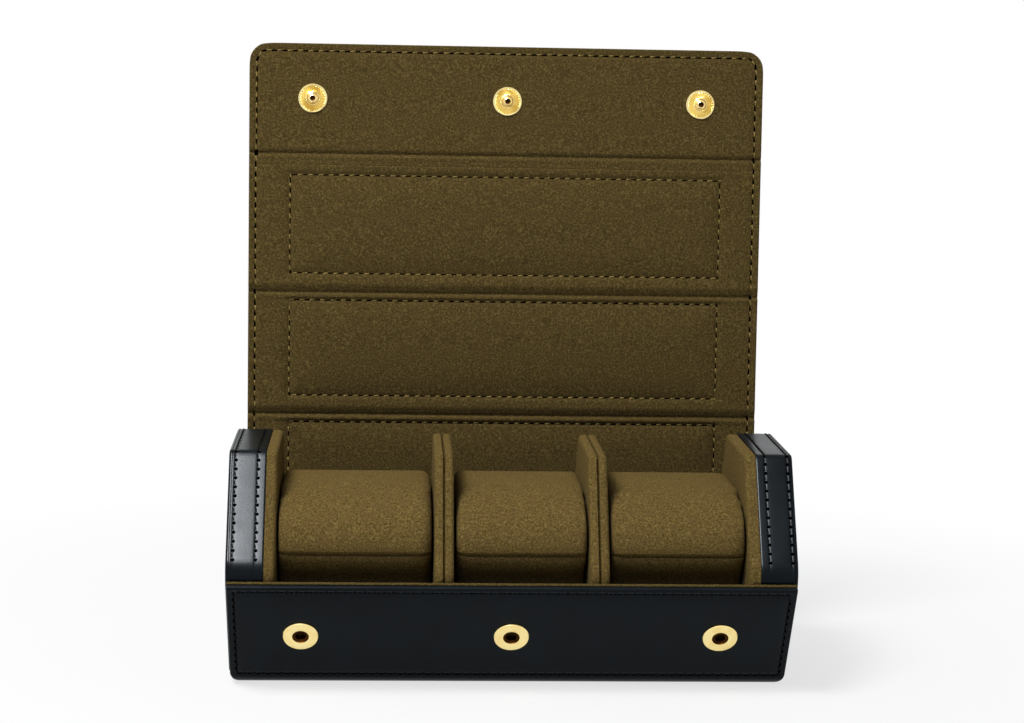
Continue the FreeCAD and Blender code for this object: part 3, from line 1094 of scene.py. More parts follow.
@dataclass
class FixedWrap:
    """The wrap's fixed half: front, floor and rear walls in one bent sheet.

    Attributes:
        row: how far the edge stitching lies inside the sheet's edges.
        row_width: half the width of the channel that a sewn line makes.
        draw: how deep the stitching draws the leather in.
        edge, rolled: rounding of the lining's edge and of the leather's.
        foot_row: how far above the foot bends a wall's lowest stitches run.
        foot_round: radius of the walls' lower corners, seen from the front.
        post_hole, post_depth: radius and depth of the holes for the sockets.
        pitch: about how far apart the sheets' lines are.
        body: the moving body that the wrap is on.
    """

    row: float = 2.6 * MM
    row_width: float = 0.6 * MM
    draw: float = 0.4 * MM
    edge: float = 0.4 * MM
    rolled: float = 1.7 * MM
    foot_row: float = 1.0 * MM
    foot_round: float = 4.2 * MM
    post_hole: float = 2.8 * MM
    post_depth: float = 5.0 * MM
    pitch: float = 4.5 * MM
    body: str = "base"

    def __post_init__(self) -> None:
        """Lays out the sewn rectangles of the two walls and their boards."""
        bends = BASE_PATH.bends()
        self.first_bend, self.last_bend = bends[1:3], bends[3:5]
        self.row_x = SIZES.base_end - self.row
        beyond = BASE_PATH.length + 4 * self.row
        self.sewn = [(self.row, bends[1] - self.foot_row), (bends[4] + self.foot_row, beyond)]
        legs = (bends[0:2], bends[2:4], bends[4:6])
        self.boards = [(low + SIZES.board_gap, high - SIZES.board_gap) for low, high in legs]

    def drawn_in(self, runs: np.ndarray) -> np.ndarray:
        """How far the sheet's sides are drawn in at the foot bends and between.

        Args:
            runs: places along the sheet.
        Returns:
            One distance for each place.
        """
        (a, b), (c, d) = self.first_bend, self.last_bend
        turned = np.clip((runs - a) / (b - a), 0, 1) * np.clip((d - runs) / (d - c), 0, 1)
        height = (SIZES.small_corner + SIZES.wrap) * (1 - np.cos(math.radians(FOLD) * (1 - turned)))
        height += (np.maximum(a - runs, 0) + np.maximum(runs - d, 0)) * FOLD_SINE
        left = self.foot_round - np.minimum(height, self.foot_round)
        return self.foot_round - np.sqrt(self.foot_round**2 - left**2)

    def sheet(self, name: str, face: Side) -> Piece:
        """One layer of the bent wrap, with rounded free edges and sewn lines.

        Args:
            name: the piece's name.
            face: the side that it shows.
        Returns:
            The sheet.
        """
        outer = face is Side.OUTER
        reach, path = SIZES.base_end, BASE_PATH
        marks = edge_marks(reach, self.edge) + row_marks(self.row_x, self.row_width)
        across = spread([s * m for m in marks for s in (-1, 1)], self.pitch)
        rows = [self.rolled if outer else self.edge]
        for run in (run for pair in self.sewn for run in pair):
            rows += row_marks(run, self.row_width)
        for low, high in self.boards:
            rows += [low - self.edge, low, high, high + self.edge]
        piece = woven_grid(name, across, path.lines(0, path.length, self.pitch, rows), face)
        points = points_of(piece)
        lines = [np.abs(outside(points, self.row_x, low, high)) for low, high in self.sewn]
        sewn = channel(np.minimum(*lines), self.draw, self.row_width)
        points[:, 1] = face.depth - face.value * sewn
        set_points(piece, points)
        thicken(piece, SIZES.lining)
        if outer:
            seat_on_boards(piece, reach - SIZES.hem, self.boards)
        hold_ends(piece, [path.length])
        refine(piece)
        points = points_of(piece)
        points[:, 0] *= 1 - self.drawn_in(points[:, 2]) / reach
        set_points(piece, points)
        path.bend(piece)
        if outer:
            self.drill(piece)
        return smooth(piece, SHEET_ANGLE)

    def drill(self, piece: Piece) -> None:
        """Cuts the holes that the sockets' posts go through.

        Args:
            piece: the bent leather.
        """
        y, z = BASE_PATH.place(np.full(2, SIZES.socket_run), np.array([SIZES.wrap, 0.0]))
        turn = Vector((0, y[1] - y[0], z[1] - z[0])).to_track_quat("Z", "Y").to_euler()
        for x in (-SIZES.snap_place, 0.0, SIZES.snap_place):
            deselect_all()
            bpy.ops.mesh.primitive_cylinder_add(
                vertices=32,
                radius=self.post_hole,
                depth=self.post_depth,
                location=(x, y[0], z[0]),
                rotation=turn,
            )
            drill = added("post_drill")
            finish_with(piece, "BOOLEAN", object=drill, operation="DIFFERENCE", solver="EXACT")
            bpy.data.objects.remove(drill)

    def seams(self) -> list[Seam]:
        """The stitching round the front wall and up the rear wall.

        Returns:
            One row for each wall.
        """
        x, (low, high), (rear, _) = self.row_x, *self.sewn
        top = BASE_PATH.length - self.row
        front = [(-x, low), (x, low), (x, high), (-x, high), (-x, low)]
        routes = {"front": front, "rear": [(-x, top), (-x, rear), (x, rear), (x, top)]}
        shown = (SIZES.wrap, Side.OUTER, Finish.BLACK_THREAD, self.draw)
        sewn = {"thick": 0.6 * MM, "pitch": 3.4 * MM, "hole": (1.6 * MM, 1.1 * MM), "slant": 12.0}
        return [
            Seam(f"{word}_wall_stitches", route, *shown, **sewn) for word, route in routes.items()
        ]

    def build(self) -> None:
        """Builds the leather, the lining and the stitching."""
        layers = (
            ("leather", Side.OUTER, Finish.LEATHER),
            ("lining", Side.INNER, Finish.FLAP_SUEDE),
        )
        for name, face, finish in layers:
            piece = self.sheet(f"wall_{name}", face)
            dress(piece, finish)
            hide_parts(f"base_{name}")
            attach(piece, self.body)
            LOG.info("wall %s: %d faces", name, len(piece.data.polygons))
        for seam in self.seams():
            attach(seam.build(BASE_PATH), self.body)


# The flap


@dataclass
class Flap:
    """The folding half: three padded panels, the closure and their creases.

    Attributes:
        frame: the loaded frame, whose joints give the crease lines.
        row: how far the edge stitching lies inside the edges.
        row_width: half the width of the channel that a sewn line makes.
        draw: how deep the edge stitching draws the sheet in.
        edge: width of the strip beside each edge that holds its shape.
        cell, coarse: about how far apart the lines of padded and of plain
            sheets are.
        strip_rows, hinge_rows: rows of an upper crease's and the hinge's strip.
        pad_reach: half the pads' width.
        pad_above, pad_below: how far a pad stays clear of the crease under it
            and of the one over it.
        pad_draw: how deep the quilting draws the lining in.
        pad_crown: how far a pad stands up from the lining.
        pad_held: how far inside the quilting the lining stays flat.
        pad_slope: how quickly a pad rises where no cloth is run; not used.
        pad_pressure, pad_frames: how hard and how long a pad is blown up.
        deepest: the most that the lining is drawn in anywhere.
        strip_hold: how much of a strip's two ends doesn't bend; not used.
        hinge_heading: direction of the hinge strip at rest, in degrees.
        hinge_share: how much of the hinge strip bends.
        fold_shape: (rise above the crease line, depth) across an upper crease,
            a soft roll above the line and a sharp ridge below it.
        notch_shape: the same for the thin line under the closure.
    """

    frame: dict[str, object]
    row: float = 2.8 * MM
    row_width: float = 0.65 * MM
    draw: float = 0.45 * MM
    edge: float = 0.4 * MM
    cell: float = 2.0 * MM
    coarse: float = 3.5 * MM
    strip_rows: int = 8
    hinge_rows: int = 14
    pad_reach: float = 83.7 * MM
    pad_crown: float = 1.35 * MM
    pad_draw: float = 0.85 * MM
    pad_held: float = 0.2 * MM
    pad_slope: float = 3.5 * MM
    pad_pressure: float = 11.0
    pad_frames: int = 14
    deepest: float = 1.14 * MM
    pad_above: float = 6.5 * MM
    pad_below: float = 3.8 * MM
    strip_hold: float = 0.1 * MM
    hinge_heading: float = 46.0
    hinge_share: float = 0.9
    fold_shape: Route = (
        (-4.0, 0), (-2.6, -0.22), (-1.9, -0.22), (-1.55, 0.1), (-1.25, 0.95), (-0.95, 1.14),
        (-0.55, 1.08), (-0.1, 0.65), (0.7, 0.3), (1.6, -0.05), (2.5, -0.25), (3.8, -0.12), (5.2, 0),
    )
    notch_shape: Route = (
        (-2.2, -0.1), (-1.1, -0.1), (-0.5, 0.75), (0.1, 0.95), (0.6, 0.35), (1.6, 0),
    )

    def __post_init__(self) -> None:
        """Reads the crease lines off the frame's joints."""
        hinges = [j for j in self.frame["joints"] if j["type"] == "hinge"]
        spots = {j["name"]: Vector(j["pos_m"]) for j in hinges}
        self.way = (spots["front_top_fold"] - spots["rear_top_fold"]).normalized()
        self.foot = spots["rear_top_fold"] - self.way * SIZES.rear_crease
        rear = self.rear_line = SIZES.rear_crease
        top = self.top_line = (spots["front_top_fold"] - self.foot).dot(self.way)
        self.closure_line = (spots["closure_fold"] - self.foot).dot(self.way)
        self.end = self.closure_line + SIZES.closure_length
        self.heading = math.atan2(self.way.z, self.way.y)
        straight = [(self.end, 0, 0)]
        self.path = SectionPath(self.foot.yz[:], math.degrees(self.heading), straight)
        half = SIZES.crease_half
        front_end = self.closure_line - SIZES.crease_below
        closure_start = self.closure_line + SIZES.crease_above
        self.spans = {
            "rear_panel": (SIZES.rear_panel_start, rear - half),
            "top_panel": (rear + half, top - half),
            "front_panel": (top + half, front_end),
            "closure": (closure_start, self.end),
        }
        self.creases = {
            "rear_top_crease": (rear - half, rear + half, "rear_panel", "top_panel"),
            "front_top_crease": (top - half, top + half, "top_panel", "front_panel"),
            "closure_crease": (front_end, closure_start, "front_panel", "closure"),
        }
        self.pads = {
            "rear_panel": (self.pad_above, rear - self.pad_below),
            "top_panel": (rear + self.pad_above, top - self.pad_below),
            "front_panel": (top + self.pad_above, front_end - self.pad_below),
        }

    def across(self, cell: float) -> list[float]:
        """Grid lines across the flap, with one on each sewn line and edge.

        Args:
            cell: about how far apart they are.
        Returns:
            Their places along X.
        """
        marks = edge_marks(SIZES.flap_end, self.edge)
        for row in (SIZES.flap_end - self.row, self.pad_reach):
            marks += row_marks(row, self.row_width)
        return spread([s * m for m in marks for s in (-1, 1)], cell)

    def along(self, low: float, high: float, cell: float) -> list[float]:
        """Grid lines along the flap, with one at each change of its relief.

        Args:
            low, high: where they start and stop.
            cell: about how far apart they are.
        Returns:
            Their runs.
        """
        marks = [low, high, self.end - self.edge, self.end - SIZES.closure_corner]
        foot, head = self.board_span(low, high)
        marks += [foot - self.edge, foot, head, head + self.edge]
        for row in (self.end - self.row, *[place for pad in self.pads.values() for place in pad]):
            marks += row_marks(row, self.row_width)
        for line in (self.rear_line, self.top_line):
            marks += [line + rise * MM for rise, _ in self.fold_shape]
        marks += [self.spans["closure"][0] + rise * MM for rise, _ in self.notch_shape]
        return spread([mark for mark in marks if low <= mark <= high], cell)

    def board_span(self, low: float, high: float) -> Place:
        """Where the stiffening board of a panel starts and stops."""
        return low + SIZES.board_gap, high - (SIZES.hem if high == self.end else SIZES.board_gap)

    def relief(self, points: np.ndarray, face: Side) -> np.ndarray:
        """How far sewing and creasing draw a face of the flap in, at each point.

        Args:
            points: rows of x, depth and run.
            face: the side that the sheet shows.
        Returns:
            One depth for each point.
        """
        x, run = np.abs(points[:, 0]), points[:, 2]
        row_x, top = SIZES.flap_end - self.row, self.end - self.row
        side_row, top_row = np.abs(x - row_x), np.abs(run - top)
        side_row = np.where(run > top, np.hypot(side_row, run - top), side_row)
        top_row = np.where(x > row_x, np.hypot(top_row, x - row_x), top_row)
        deep = channel(np.minimum(side_row, top_row), self.draw, self.row_width)
        if face is Side.OUTER:
            lines = (self.rear_line, self.top_line, self.closure_line)
            folds = [channel(run - line, self.draw, self.row_width) for line in lines]
            return np.maximum.reduce([deep, *folds])
        for pad in self.pads.values():
            quilted = np.abs(outside(points, self.pad_reach, *pad))
            deep = np.maximum(deep, channel(quilted, self.pad_draw, self.row_width))
        shapes = [(self.rear_line, self.fold_shape), (self.top_line, self.fold_shape)]
        for line, shape in [*shapes, (self.spans["closure"][0], self.notch_shape)]:
            rises, depths = zip(*shape)
            deep = deep + MM * np.interp((run - line) / MM, rises, depths, left=0, right=0)
        return np.minimum(deep, self.deepest)

    def layer(self, name: str, span: Place, face: Side, cell: float, pad: str = "") -> Piece:
        """One sheet of leather or lining, cut, relieved and backed, still flat.

        Args:
            name: the piece's name.
            span: where it starts and stops along the flap.
            face: the side that it shows.
            cell: the size of its grid.
            pad: the panel whose pad it is quilted over, if it is.
        Returns:
            The sheet.
        """
        low, high = span
        rows = self.along(low, high, min(cell, (high - low) / self.strip_rows))
        piece = woven_grid(name, self.across(cell), rows, face)
        points = points_of(piece)
        points[:, 1] = face.depth - face.value * self.relief(points, face)
        set_points(piece, points)
        if pad:
            self.fill(piece, pad)
        if high == self.end:
            points = points_of(piece)
            points = round_corners(points, SIZES.flap_end, high, SIZES.closure_corner)
            set_points(piece, points)
        thicken(piece, SIZES.lining)
        if face is Side.OUTER and span in self.spans.values():
            board = self.board_span(low, high)
            seat_on_boards(piece, SIZES.flap_end - SIZES.hem, [board])
        hold_ends(piece, [run for run in span if run != self.end])
        refine(piece)
        return smooth(piece)

    def fill(self, piece: Piece, body: str) -> None:
        """Blows the quilted rectangle of a panel's lining up from behind.

        Args:
            piece: the lining, still flat.
            body: the panel.
        """
        points = points_of(piece)
        flat = points[:, 1].copy()
        distance = outside(points, self.pad_reach, *self.pads[body])
        inside = distance < -self.pad_held
        inflate(piece, self.pad_pressure, self.pad_frames, ~inside)
        rise = flat - points_of(piece)[:, 1]
        LOG.info("%s: cloth rose %.2f mm", body, rise.max() / MM)
        rise = self.pad_crown * np.tanh(np.maximum(rise, 0) / self.pad_crown)
        points[:, 1] = flat - np.where(inside, rise, 0)
        set_points(piece, points)

    def finish_layer(self, piece: Piece, face: Side, *nodes: str) -> None:
        """Dresses a sheet and hides the nodes that it stands for.

        Args:
            piece: the sheet.
            face: the side that it shows.
            nodes: the frame's nodes that it replaces.
        """
        inner = face is Side.INNER
        dress(piece, Finish.FLAP_SUEDE if inner else Finish.LEATHER)
        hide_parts(*nodes)

    def panels(self) -> None:
        """The three padded panels and the closure, inside and outside."""
        for body, span in self.spans.items():
            padded = body in self.pads
            cell, pad = (self.cell, body) if padded else (self.coarse, "")
            lining = self.layer(f"{body}_suede", span, Side.INNER, cell, pad)
            nodes = [f"{body}_lining"]
            if padded:
                nodes.append(f"{body}_foam")
            self.finish_layer(lining, Side.INNER, *nodes)
            skin = self.layer(f"{body}_skin", span, Side.OUTER, self.coarse)
            self.finish_layer(skin, Side.OUTER, f"{body}_leather")
            for piece in (lining, skin):
                self.path.bend(piece)
                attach(piece, body)
            LOG.info("%s: %d faces of lining", body, len(lining.data.polygons))

    def bending_strips(self) -> None:
        """The creases' lining and leather between two panels, laid along the flat flap and fixed in place.
        """
        for name, (low, high, before, after) in self.creases.items():
            for face in Side:
                piece = self.layer(f"{name}_{face.name.lower()}", (low, high), face, self.coarse)
                self.finish_layer(piece, face, name)
                self.path.bend(piece)
                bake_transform(piece)
            if name != "closure_crease":
                continue
            for seam in self.side_seams(name, low, high):
                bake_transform(seam.build(self.path))

    def hinge_strip(self) -> None:
        """The strip from the rear wall to the flap, which bends right round."""
        start, end = self.hinge_ends()
        rows = [i / self.hinge_rows for i in range(self.hinge_rows + 1)]
        for face in Side:
            name = f"rear_hinge_{face.name.lower()}"
            piece = woven_grid(name, self.across(self.coarse), rows, face)
            points = points_of(piece)
            reach = SIZES.base_end + (SIZES.flap_end - SIZES.base_end) * points[:, 2]
            points[:, 0] *= reach / SIZES.flap_end
            row = np.abs(points[:, 0]) - (reach - self.row)
            points[:, 1] = face.depth - face.value * channel(row, self.draw, self.row_width)
            set_points(piece, points)
            thicken(piece, SIZES.lining)
            hold_ends(piece, [0, 1])
            refine(piece)
            self.sweep_hinge(piece)
            smooth(piece)
            self.finish_layer(piece, face, "rear_hinge_crease")
            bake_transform(piece)

    def hinge_ends(self) -> tuple[Vector, Vector]:
        """Points between which the hinge strip turns, clear of both its ends.

        Returns:
            The lower and the upper point.
        """
        y, z = BASE_PATH.place(np.array([BASE_PATH.length]), np.array([SIZES.wrap]))
        low = Vector((0, y[0], z[0]))
        high = self.foot + self.way * SIZES.rear_panel_start
        turn = math.radians(self.hinge_heading)
        middle, ahead = (low + high) / 2, Vector((0, math.cos(turn), math.sin(turn)))
        half = (high - low).dot(ahead) / 2 * self.hinge_share
        return middle - ahead * half, middle + ahead * half

    def sweep_hinge(self, piece: Piece) -> None:
        """Bends the hinge strip's flat drawing from the wall to the flap.

        Args:
            piece: the drawing, whose run goes from 0 at the wall to 1 at the flap.
        """
        points = points_of(piece)
        t, depth = points[:, 2], points[:, 1]
        y0, z0 = BASE_PATH.place(np.full(len(points), BASE_PATH.length), depth)
        y1, z1 = self.path.place(np.full(len(points), SIZES.rear_panel_start), depth)
        ahead_y, ahead_z = math.cos(self.heading), math.sin(self.heading)
        gap = np.hypot(y1 - y0, z1 - z0)
        # A smooth curve that leaves along the wall and arrives along the flap
        leave, arrive = t**3 - 2 * t**2 + t, t**3 - t**2
        share = 3 * t**2 - 2 * t**3
        y = y0 + share * (y1 - y0) + gap * (leave * FOLD_COSINE + arrive * ahead_y)
        z = z0 + share * (z1 - z0) + gap * (leave * FOLD_SINE + arrive * ahead_z)
        set_points(piece, np.column_stack([points[:, 0], y, z]))

    def side_seams(self, body: str, low: float, high: float) -> list[Seam]:
        """The edge stitches of a straight stretch, on both sides and faces.

        Args:
            body: the first words of their names.
            low, high: where they start and stop.
        Returns:
            Four rows.
        """
        x = SIZES.flap_end - self.row
        rows = []
        for word, sign in (("left", -1), ("right", 1)):
            route = [(sign * x, low), (sign * x, high)]
            for face in Side:
                rows.append(self.seam(f"{body}_{word}_stitches_{face.name.lower()}", route, face))
        return rows

    def seam(self, name: str, route: Route, face: Side) -> Seam:
        """A row of the edge stitching.

        Args:
            name: the piece's name.
            route: its corners as (x, run).
            face: the side on which it shows.
        Returns:
            The row.
        """
        thread = Finish.OLIVE_THREAD if face is Side.INNER else Finish.BLACK_THREAD
        return Seam(name, route, face.depth, face, thread, self.draw)

    def closure_route(self) -> list[Place]:
        """The edge stitching's line round the closure's two free corners.

        Returns:
            Its corners as (x, run).
        """
        x, top = SIZES.flap_end - self.row, self.end - self.row
        arc = SIZES.closure_corner - self.row
        turns = [math.radians(a) for a in (0, 22.5, 45, 67.5, 90)]
        bend = [(x - arc + arc * math.cos(a), top - arc + arc * math.sin(a)) for a in turns]
        low = self.spans["closure"][0]
        return [(x, low), *bend, *[(-bx, run) for bx, run in bend[::-1]], (-x, low)]

    def sew(self) -> None:
        """Lays the edge stitching and the quilting."""
        for body, (low, high) in self.spans.items():
            if body == "closure":
                route = self.closure_route()
                rows = [self.seam(f"closure_stitches_{face.name.lower()}", route, face) for face in Side]
            else:
                rows = self.side_seams(body, low, high)
                x, (foot, head) = self.pad_reach, self.pads[body]
                route = [(-x, foot), (x, foot), (x, head), (-x, head), (-x, foot)]
                sewn = (0.0, Side.INNER, Finish.OLIVE_THREAD, self.pad_draw)
                rows.append(Seam(f"{body}_quilting", route, *sewn))
            for row in rows:
                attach(row.build(self.path), body)
        LOG.info("flap: sewn")

    def build(self) -> None:
        """Builds every layer of the flap and sews it."""
        self.panels()
        self.bending_strips()
        self.hinge_strip()
        self.sew()


# Padding


# How much shorter a cushion is at each end than the solid that it stands for
CUSHION_GAP = 0.15 * MM

# Suede over foam: it hardly stretches and bends easily
CLOTH_STIFFNESS = {
    "tension_stiffness": 12,
    "compression_stiffness": 12,
    "bending_stiffness": 0.4,
}


def inflate(piece: Piece, pressure: float, frames: int, pinned: np.ndarray | None = None) -> None:
    """Blows a piece up as cloth and keeps the result.

    Args:
        piece: a mesh whose faces point the way it swells.
        pressure: how hard it is blown up.
        frames: how many steps it is given.
        pinned: True at each point that stays where it is.
    """
    activate(piece)
    cloth = piece.modifiers.new("cloth", "CLOTH")
    cloth.settings.use_pressure = True
    cloth.settings.uniform_pressure_force = pressure
    cloth.settings.effector_weights.gravity = 0
    for name, value in CLOTH_STIFFNESS.items():
        setattr(cloth.settings, name, value)
    cloth.point_cache.frame_start = 1
    cloth.point_cache.frame_end = frames
    if pinned is not None:
        group = piece.vertex_groups.new(name="pinned")
        group.add([int(i) for i in np.flatnonzero(pinned)], 1.0, "REPLACE")
        cloth.settings.vertex_group_mass = "pinned"
    scene = bpy.context.scene
    for frame in range(1, frames + 1):
        scene.frame_set(frame)
    bpy.ops.object.modifier_apply(modifier=cloth.name)
    piece.vertex_groups.clear()
    scene.frame_set(1)


@dataclass
class Cushion:
    """A foam cushion in a sewn suede cover, which a watch is strapped round.

    Attributes:
        name: the piece's name.
        low, high: its two ends along X.
        half_depth: half its depth from front to back, at the seam.
        top, seam_height, seat: heights of its top, its seam and its flat foot.
        neck, foot: (half depth, height) where its underside turns and ends.
        round_share: how square its upper outline is; 1 is an ellipse.
        end_round: rounding of its ends before it is filled.
        around: how many sides stand for its outline.
        voxel: size of the faces that it is filled with.
        pressure, frames: how hard and how long it is blown up.
        swell: the most that filling moves the cover.
        below: the share of that left below the seam, where the cover is held.
        seam_shape: (rise above the seam, depth) across its groove, in mm.
    """

    name: str
    low: float
    high: float
    half_depth: float = 38.7 * MM
    top: float = 71.6 * MM
    seam_height: float = 50.4 * MM
    seat: float = 3.55 * MM
    neck: Place = (30.4 * MM, 39.9 * MM)
    foot: Place = (18.8 * MM, 3.2 * MM)
    round_share: float = 0.77
    end_round: float = 1.0 * MM
    around: int = 64
    voxel: float = 2.6 * MM
    pressure: float = 4.0
    frames: int = 20
    swell: float = 1.5 * MM
    below: float = 0.2
    seam_shape: Route = ((-3.0, 0), (-0.75, 0.4), (-0.4, 1.6), (0.95, 0))

    def blank(self) -> Piece:
        """The cushion's form before it is filled.

        Returns:
            The form, lying along X.
        """
        deselect_all()
        width, middle = self.high - self.low, (self.low + self.high) / 2
        turn = (0, math.pi / 2, 0)
        bpy.ops.mesh.primitive_cylinder_add(
            vertices=self.around, radius=1, depth=width, location=(middle, 0, 0), rotation=turn
        )
        piece = added(self.name)
        points = points_of(piece)
        share = np.abs(points[:, 1:])
        y = share[:, 0] ** self.round_share * self.half_depth
        z = self.seam_height + share[:, 1] ** self.round_share * (self.top - self.seam_height)
        # Under the seam the quarter circle turns into straight lines by neck and foot
        under = points[:, 2] < -0.01
        turned = np.arcsin(np.minimum(share[under, 1], 1)) / (math.pi / 2)
        turns = (0, 0.25, 0.75, 1)
        depths = (self.half_depth, self.neck[0], self.foot[0], 0)
        heights = (self.seam_height, self.neck[1], self.foot[1], self.foot[1])
        y[under] = np.interp(turned, turns, depths)
        z[under] = np.interp(turned, turns, heights)
        points[:, 1], points[:, 2] = np.sign(points[:, 1]) * y, z
        set_points(piece, points)
        with editing(piece, "EDGE"):
            pick(piece, "EDGE", lambda co, _: abs(abs(co.x - middle) - width / 2) < SAME_PLACE)
            bpy.ops.mesh.bevel(offset=self.end_round, segments=3, affect="EDGES")
        return piece

    def fit(self, piece: Piece, start: np.ndarray, normals: np.ndarray) -> None:
        """Keeps the filled cover's swelling within limits and fits it to its slot.

        Args:
            piece: the filled cover.
            start, normals: its points and their normals before it was filled.
        """
        rise = ((points_of(piece) - start) * normals).sum(axis=1)
        rise = np.clip(rise, 0, self.swell)
        rise[start[:, 2] < self.seam_height] *= self.below
        middle, half = (self.low + self.high) / 2, (self.high - self.low) / 2
        moved = start.copy()
        moved[:, 0] = middle + (moved[:, 0] - middle) * half / np.abs(moved[:, 0] - middle).max()
        moved += normals * rise[:, None]
        moved[:, 0] = np.clip(moved[:, 0], self.low, self.high)
        moved[:, 1] *= self.half_depth / np.abs(moved[:, 1]).max()
        above = moved[:, 2] - self.seam_height
        head = above > 0
        moved[head, 2] = self.seam_height + above[head] * (self.top - self.seam_height) / above.max()
        moved[:, 2] = np.maximum(moved[:, 2], self.seat)
        set_points(piece, moved)

    def sew(self, piece: Piece) -> None:
        """Draws in the seam that runs along the front and the back.

        Args:
            piece: the filled cover.
        """
        rises, depths = zip(*[(rise * MM, depth * MM) for rise, depth in self.seam_shape])
        with editing(piece):
            for rise in rises:
                place = (0, 0, self.seam_height + rise)
                bpy.ops.mesh.select_all(action="SELECT")
                bpy.ops.mesh.bisect(plane_co=place, plane_no=(0, 0, 1))
        points = points_of(piece)
        drawn = np.interp(points[:, 2] - self.seam_height, rises, depths)
        points[:, 1] *= 1 - drawn / self.half_depth
        set_points(piece, points)

    def build(self) -> None:
        """Fills the cover, fits it to its slot and sews its seam."""
        piece = self.blank()
        finish_with(piece, "REMESH", mode="VOXEL", voxel_size=self.voxel)
        start = points_of(piece)
        normals = np.array([point.normal for point in piece.data.vertices])
        inflate(piece, self.pressure, self.frames)
        self.fit(piece, start, normals)
        refine(piece)
        self.sew(piece)
        smooth(piece, COVER_ANGLE)
        # The cover gets the copy of the suede painted lighter: painted light
        dress(piece, Finish.CUSHION_SUEDE)
        side = self.name.removesuffix("_pillow")
        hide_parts(f"{side}_cushion_cover", f"{side}_cushion_foam")
        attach(piece, f"{side}_cushion")
        LOG.info("%s: %d faces", self.name, len(piece.data.polygons))


# The ends and dividers


@dataclass
class HexPlate:
    """A plate of the case's section, rounded at its rim and crowned.

    Attributes:
        name: the piece's name.
        low, high: its two faces along X.
        inset: how far its upper sides are drawn in.
        low_round, high_round: rounding of its rim at each face.
        low_crown, high_crown: how far each face's middle stands proud of its rim.
        dome: (size, share of the crown) of each ring that a face rises in.
    """

    name: str
    low: float
    high: float
    inset: float
    low_round: float
    high_round: float
    low_crown: float = 0.0
    high_crown: float = 0.0
    dome: Route = ((0.93, 0.4), (0.85, 0.3), (0.7, 0.2), (0.5, 0.1))

    def build(self) -> Piece:
        """Cuts the outline, rounds its corners, gives it its depth and rim.

        Returns:
            The plate.
        """
        piece = self.outline()
        with editing(piece):
            self.round_outline(piece)
            bpy.ops.mesh.select_all(action="SELECT")
            self.raise_face(self.high - self.low)
            for place, radius in ((self.low, self.low_round), (self.high, self.high_round)):
                if radius:
                    pick(piece, "EDGE", lambda co, _: abs(co.x - place) < SAME_PLACE)
                    bpy.ops.mesh.bevel(offset=radius, segments=4, affect="EDGES")
            if self.low_crown:
                self.crown(piece, self.low, -self.low_crown)
            if self.high_crown:
                self.crown(piece, self.high, self.high_crown)
            bpy.ops.mesh.select_all(action="SELECT")
            bpy.ops.mesh.normals_make_consistent(inside=False)
        smooth(piece, SHEET_ANGLE)
        finish_with(piece, "WEIGHTED_NORMAL", keep_sharp=True)
        return piece

    def raise_face(self, rise: float) -> None:
        """Extrudes what is selected along X."""
        bpy.ops.mesh.extrude_region_move(TRANSFORM_OT_translate={"value": (rise, 0, 0)})

    def outline(self) -> Piece:
        """Cuts the sharp hexagon at the plate's lower face.

        Returns:
            The flat hexagon.
        """
        deselect_all()
        bpy.ops.mesh.primitive_circle_add(
            vertices=6,
            radius=SIZES.side,
            fill_type="NGON",
            location=(self.low, 0, SIZES.middle_height),
            rotation=(0, math.pi / 2, 0),
        )
        piece = added(self.name)
        corners = SIZES.corners(self.inset)
        points = points_of(piece)
        for i, point in enumerate(points):
            points[i, 1:] = min(corners, key=lambda c: math.hypot(c[0] - point[1], c[1] - point[2]))
        set_points(piece, points)
        return piece

    def round_outline(self, piece: Piece) -> None:
        """Rounds the hexagon's corners, two of them wide.

        Args:
            piece: the flat hexagon, in edit mode.
        """
        for i, (y, z) in enumerate(SIZES.corners(self.inset)):
            radius = SIZES.wide_corner if i in (1, 4) else SIZES.small_corner
            reach = (radius - self.inset) * CORNER_SHARE
            pick(piece, "VERT", lambda co, _: math.hypot(co.y - y, co.z - z) < SAME_PLACE)
            bpy.ops.mesh.bevel(offset=reach, segments=ARC_STEPS, affect="VERTICES")

    def crown(self, piece: Piece, place: float, rise: float) -> None:
        """Raises the middle of a face ring by ring.

        Args:
            piece: the plate, in edit mode.
            place: the face's place along X.
            rise: how far its middle goes along X.
        """
        pick(piece, "FACE", lambda co, way: abs(co.x - place) < SAME_PLACE and abs(way.x) > 0.99)
        for size, share in self.dome:
            self.raise_face(rise * share)
            middle = (place, 0, SIZES.middle_height)
            bpy.ops.transform.resize(value=(1, size, size), center_override=middle)


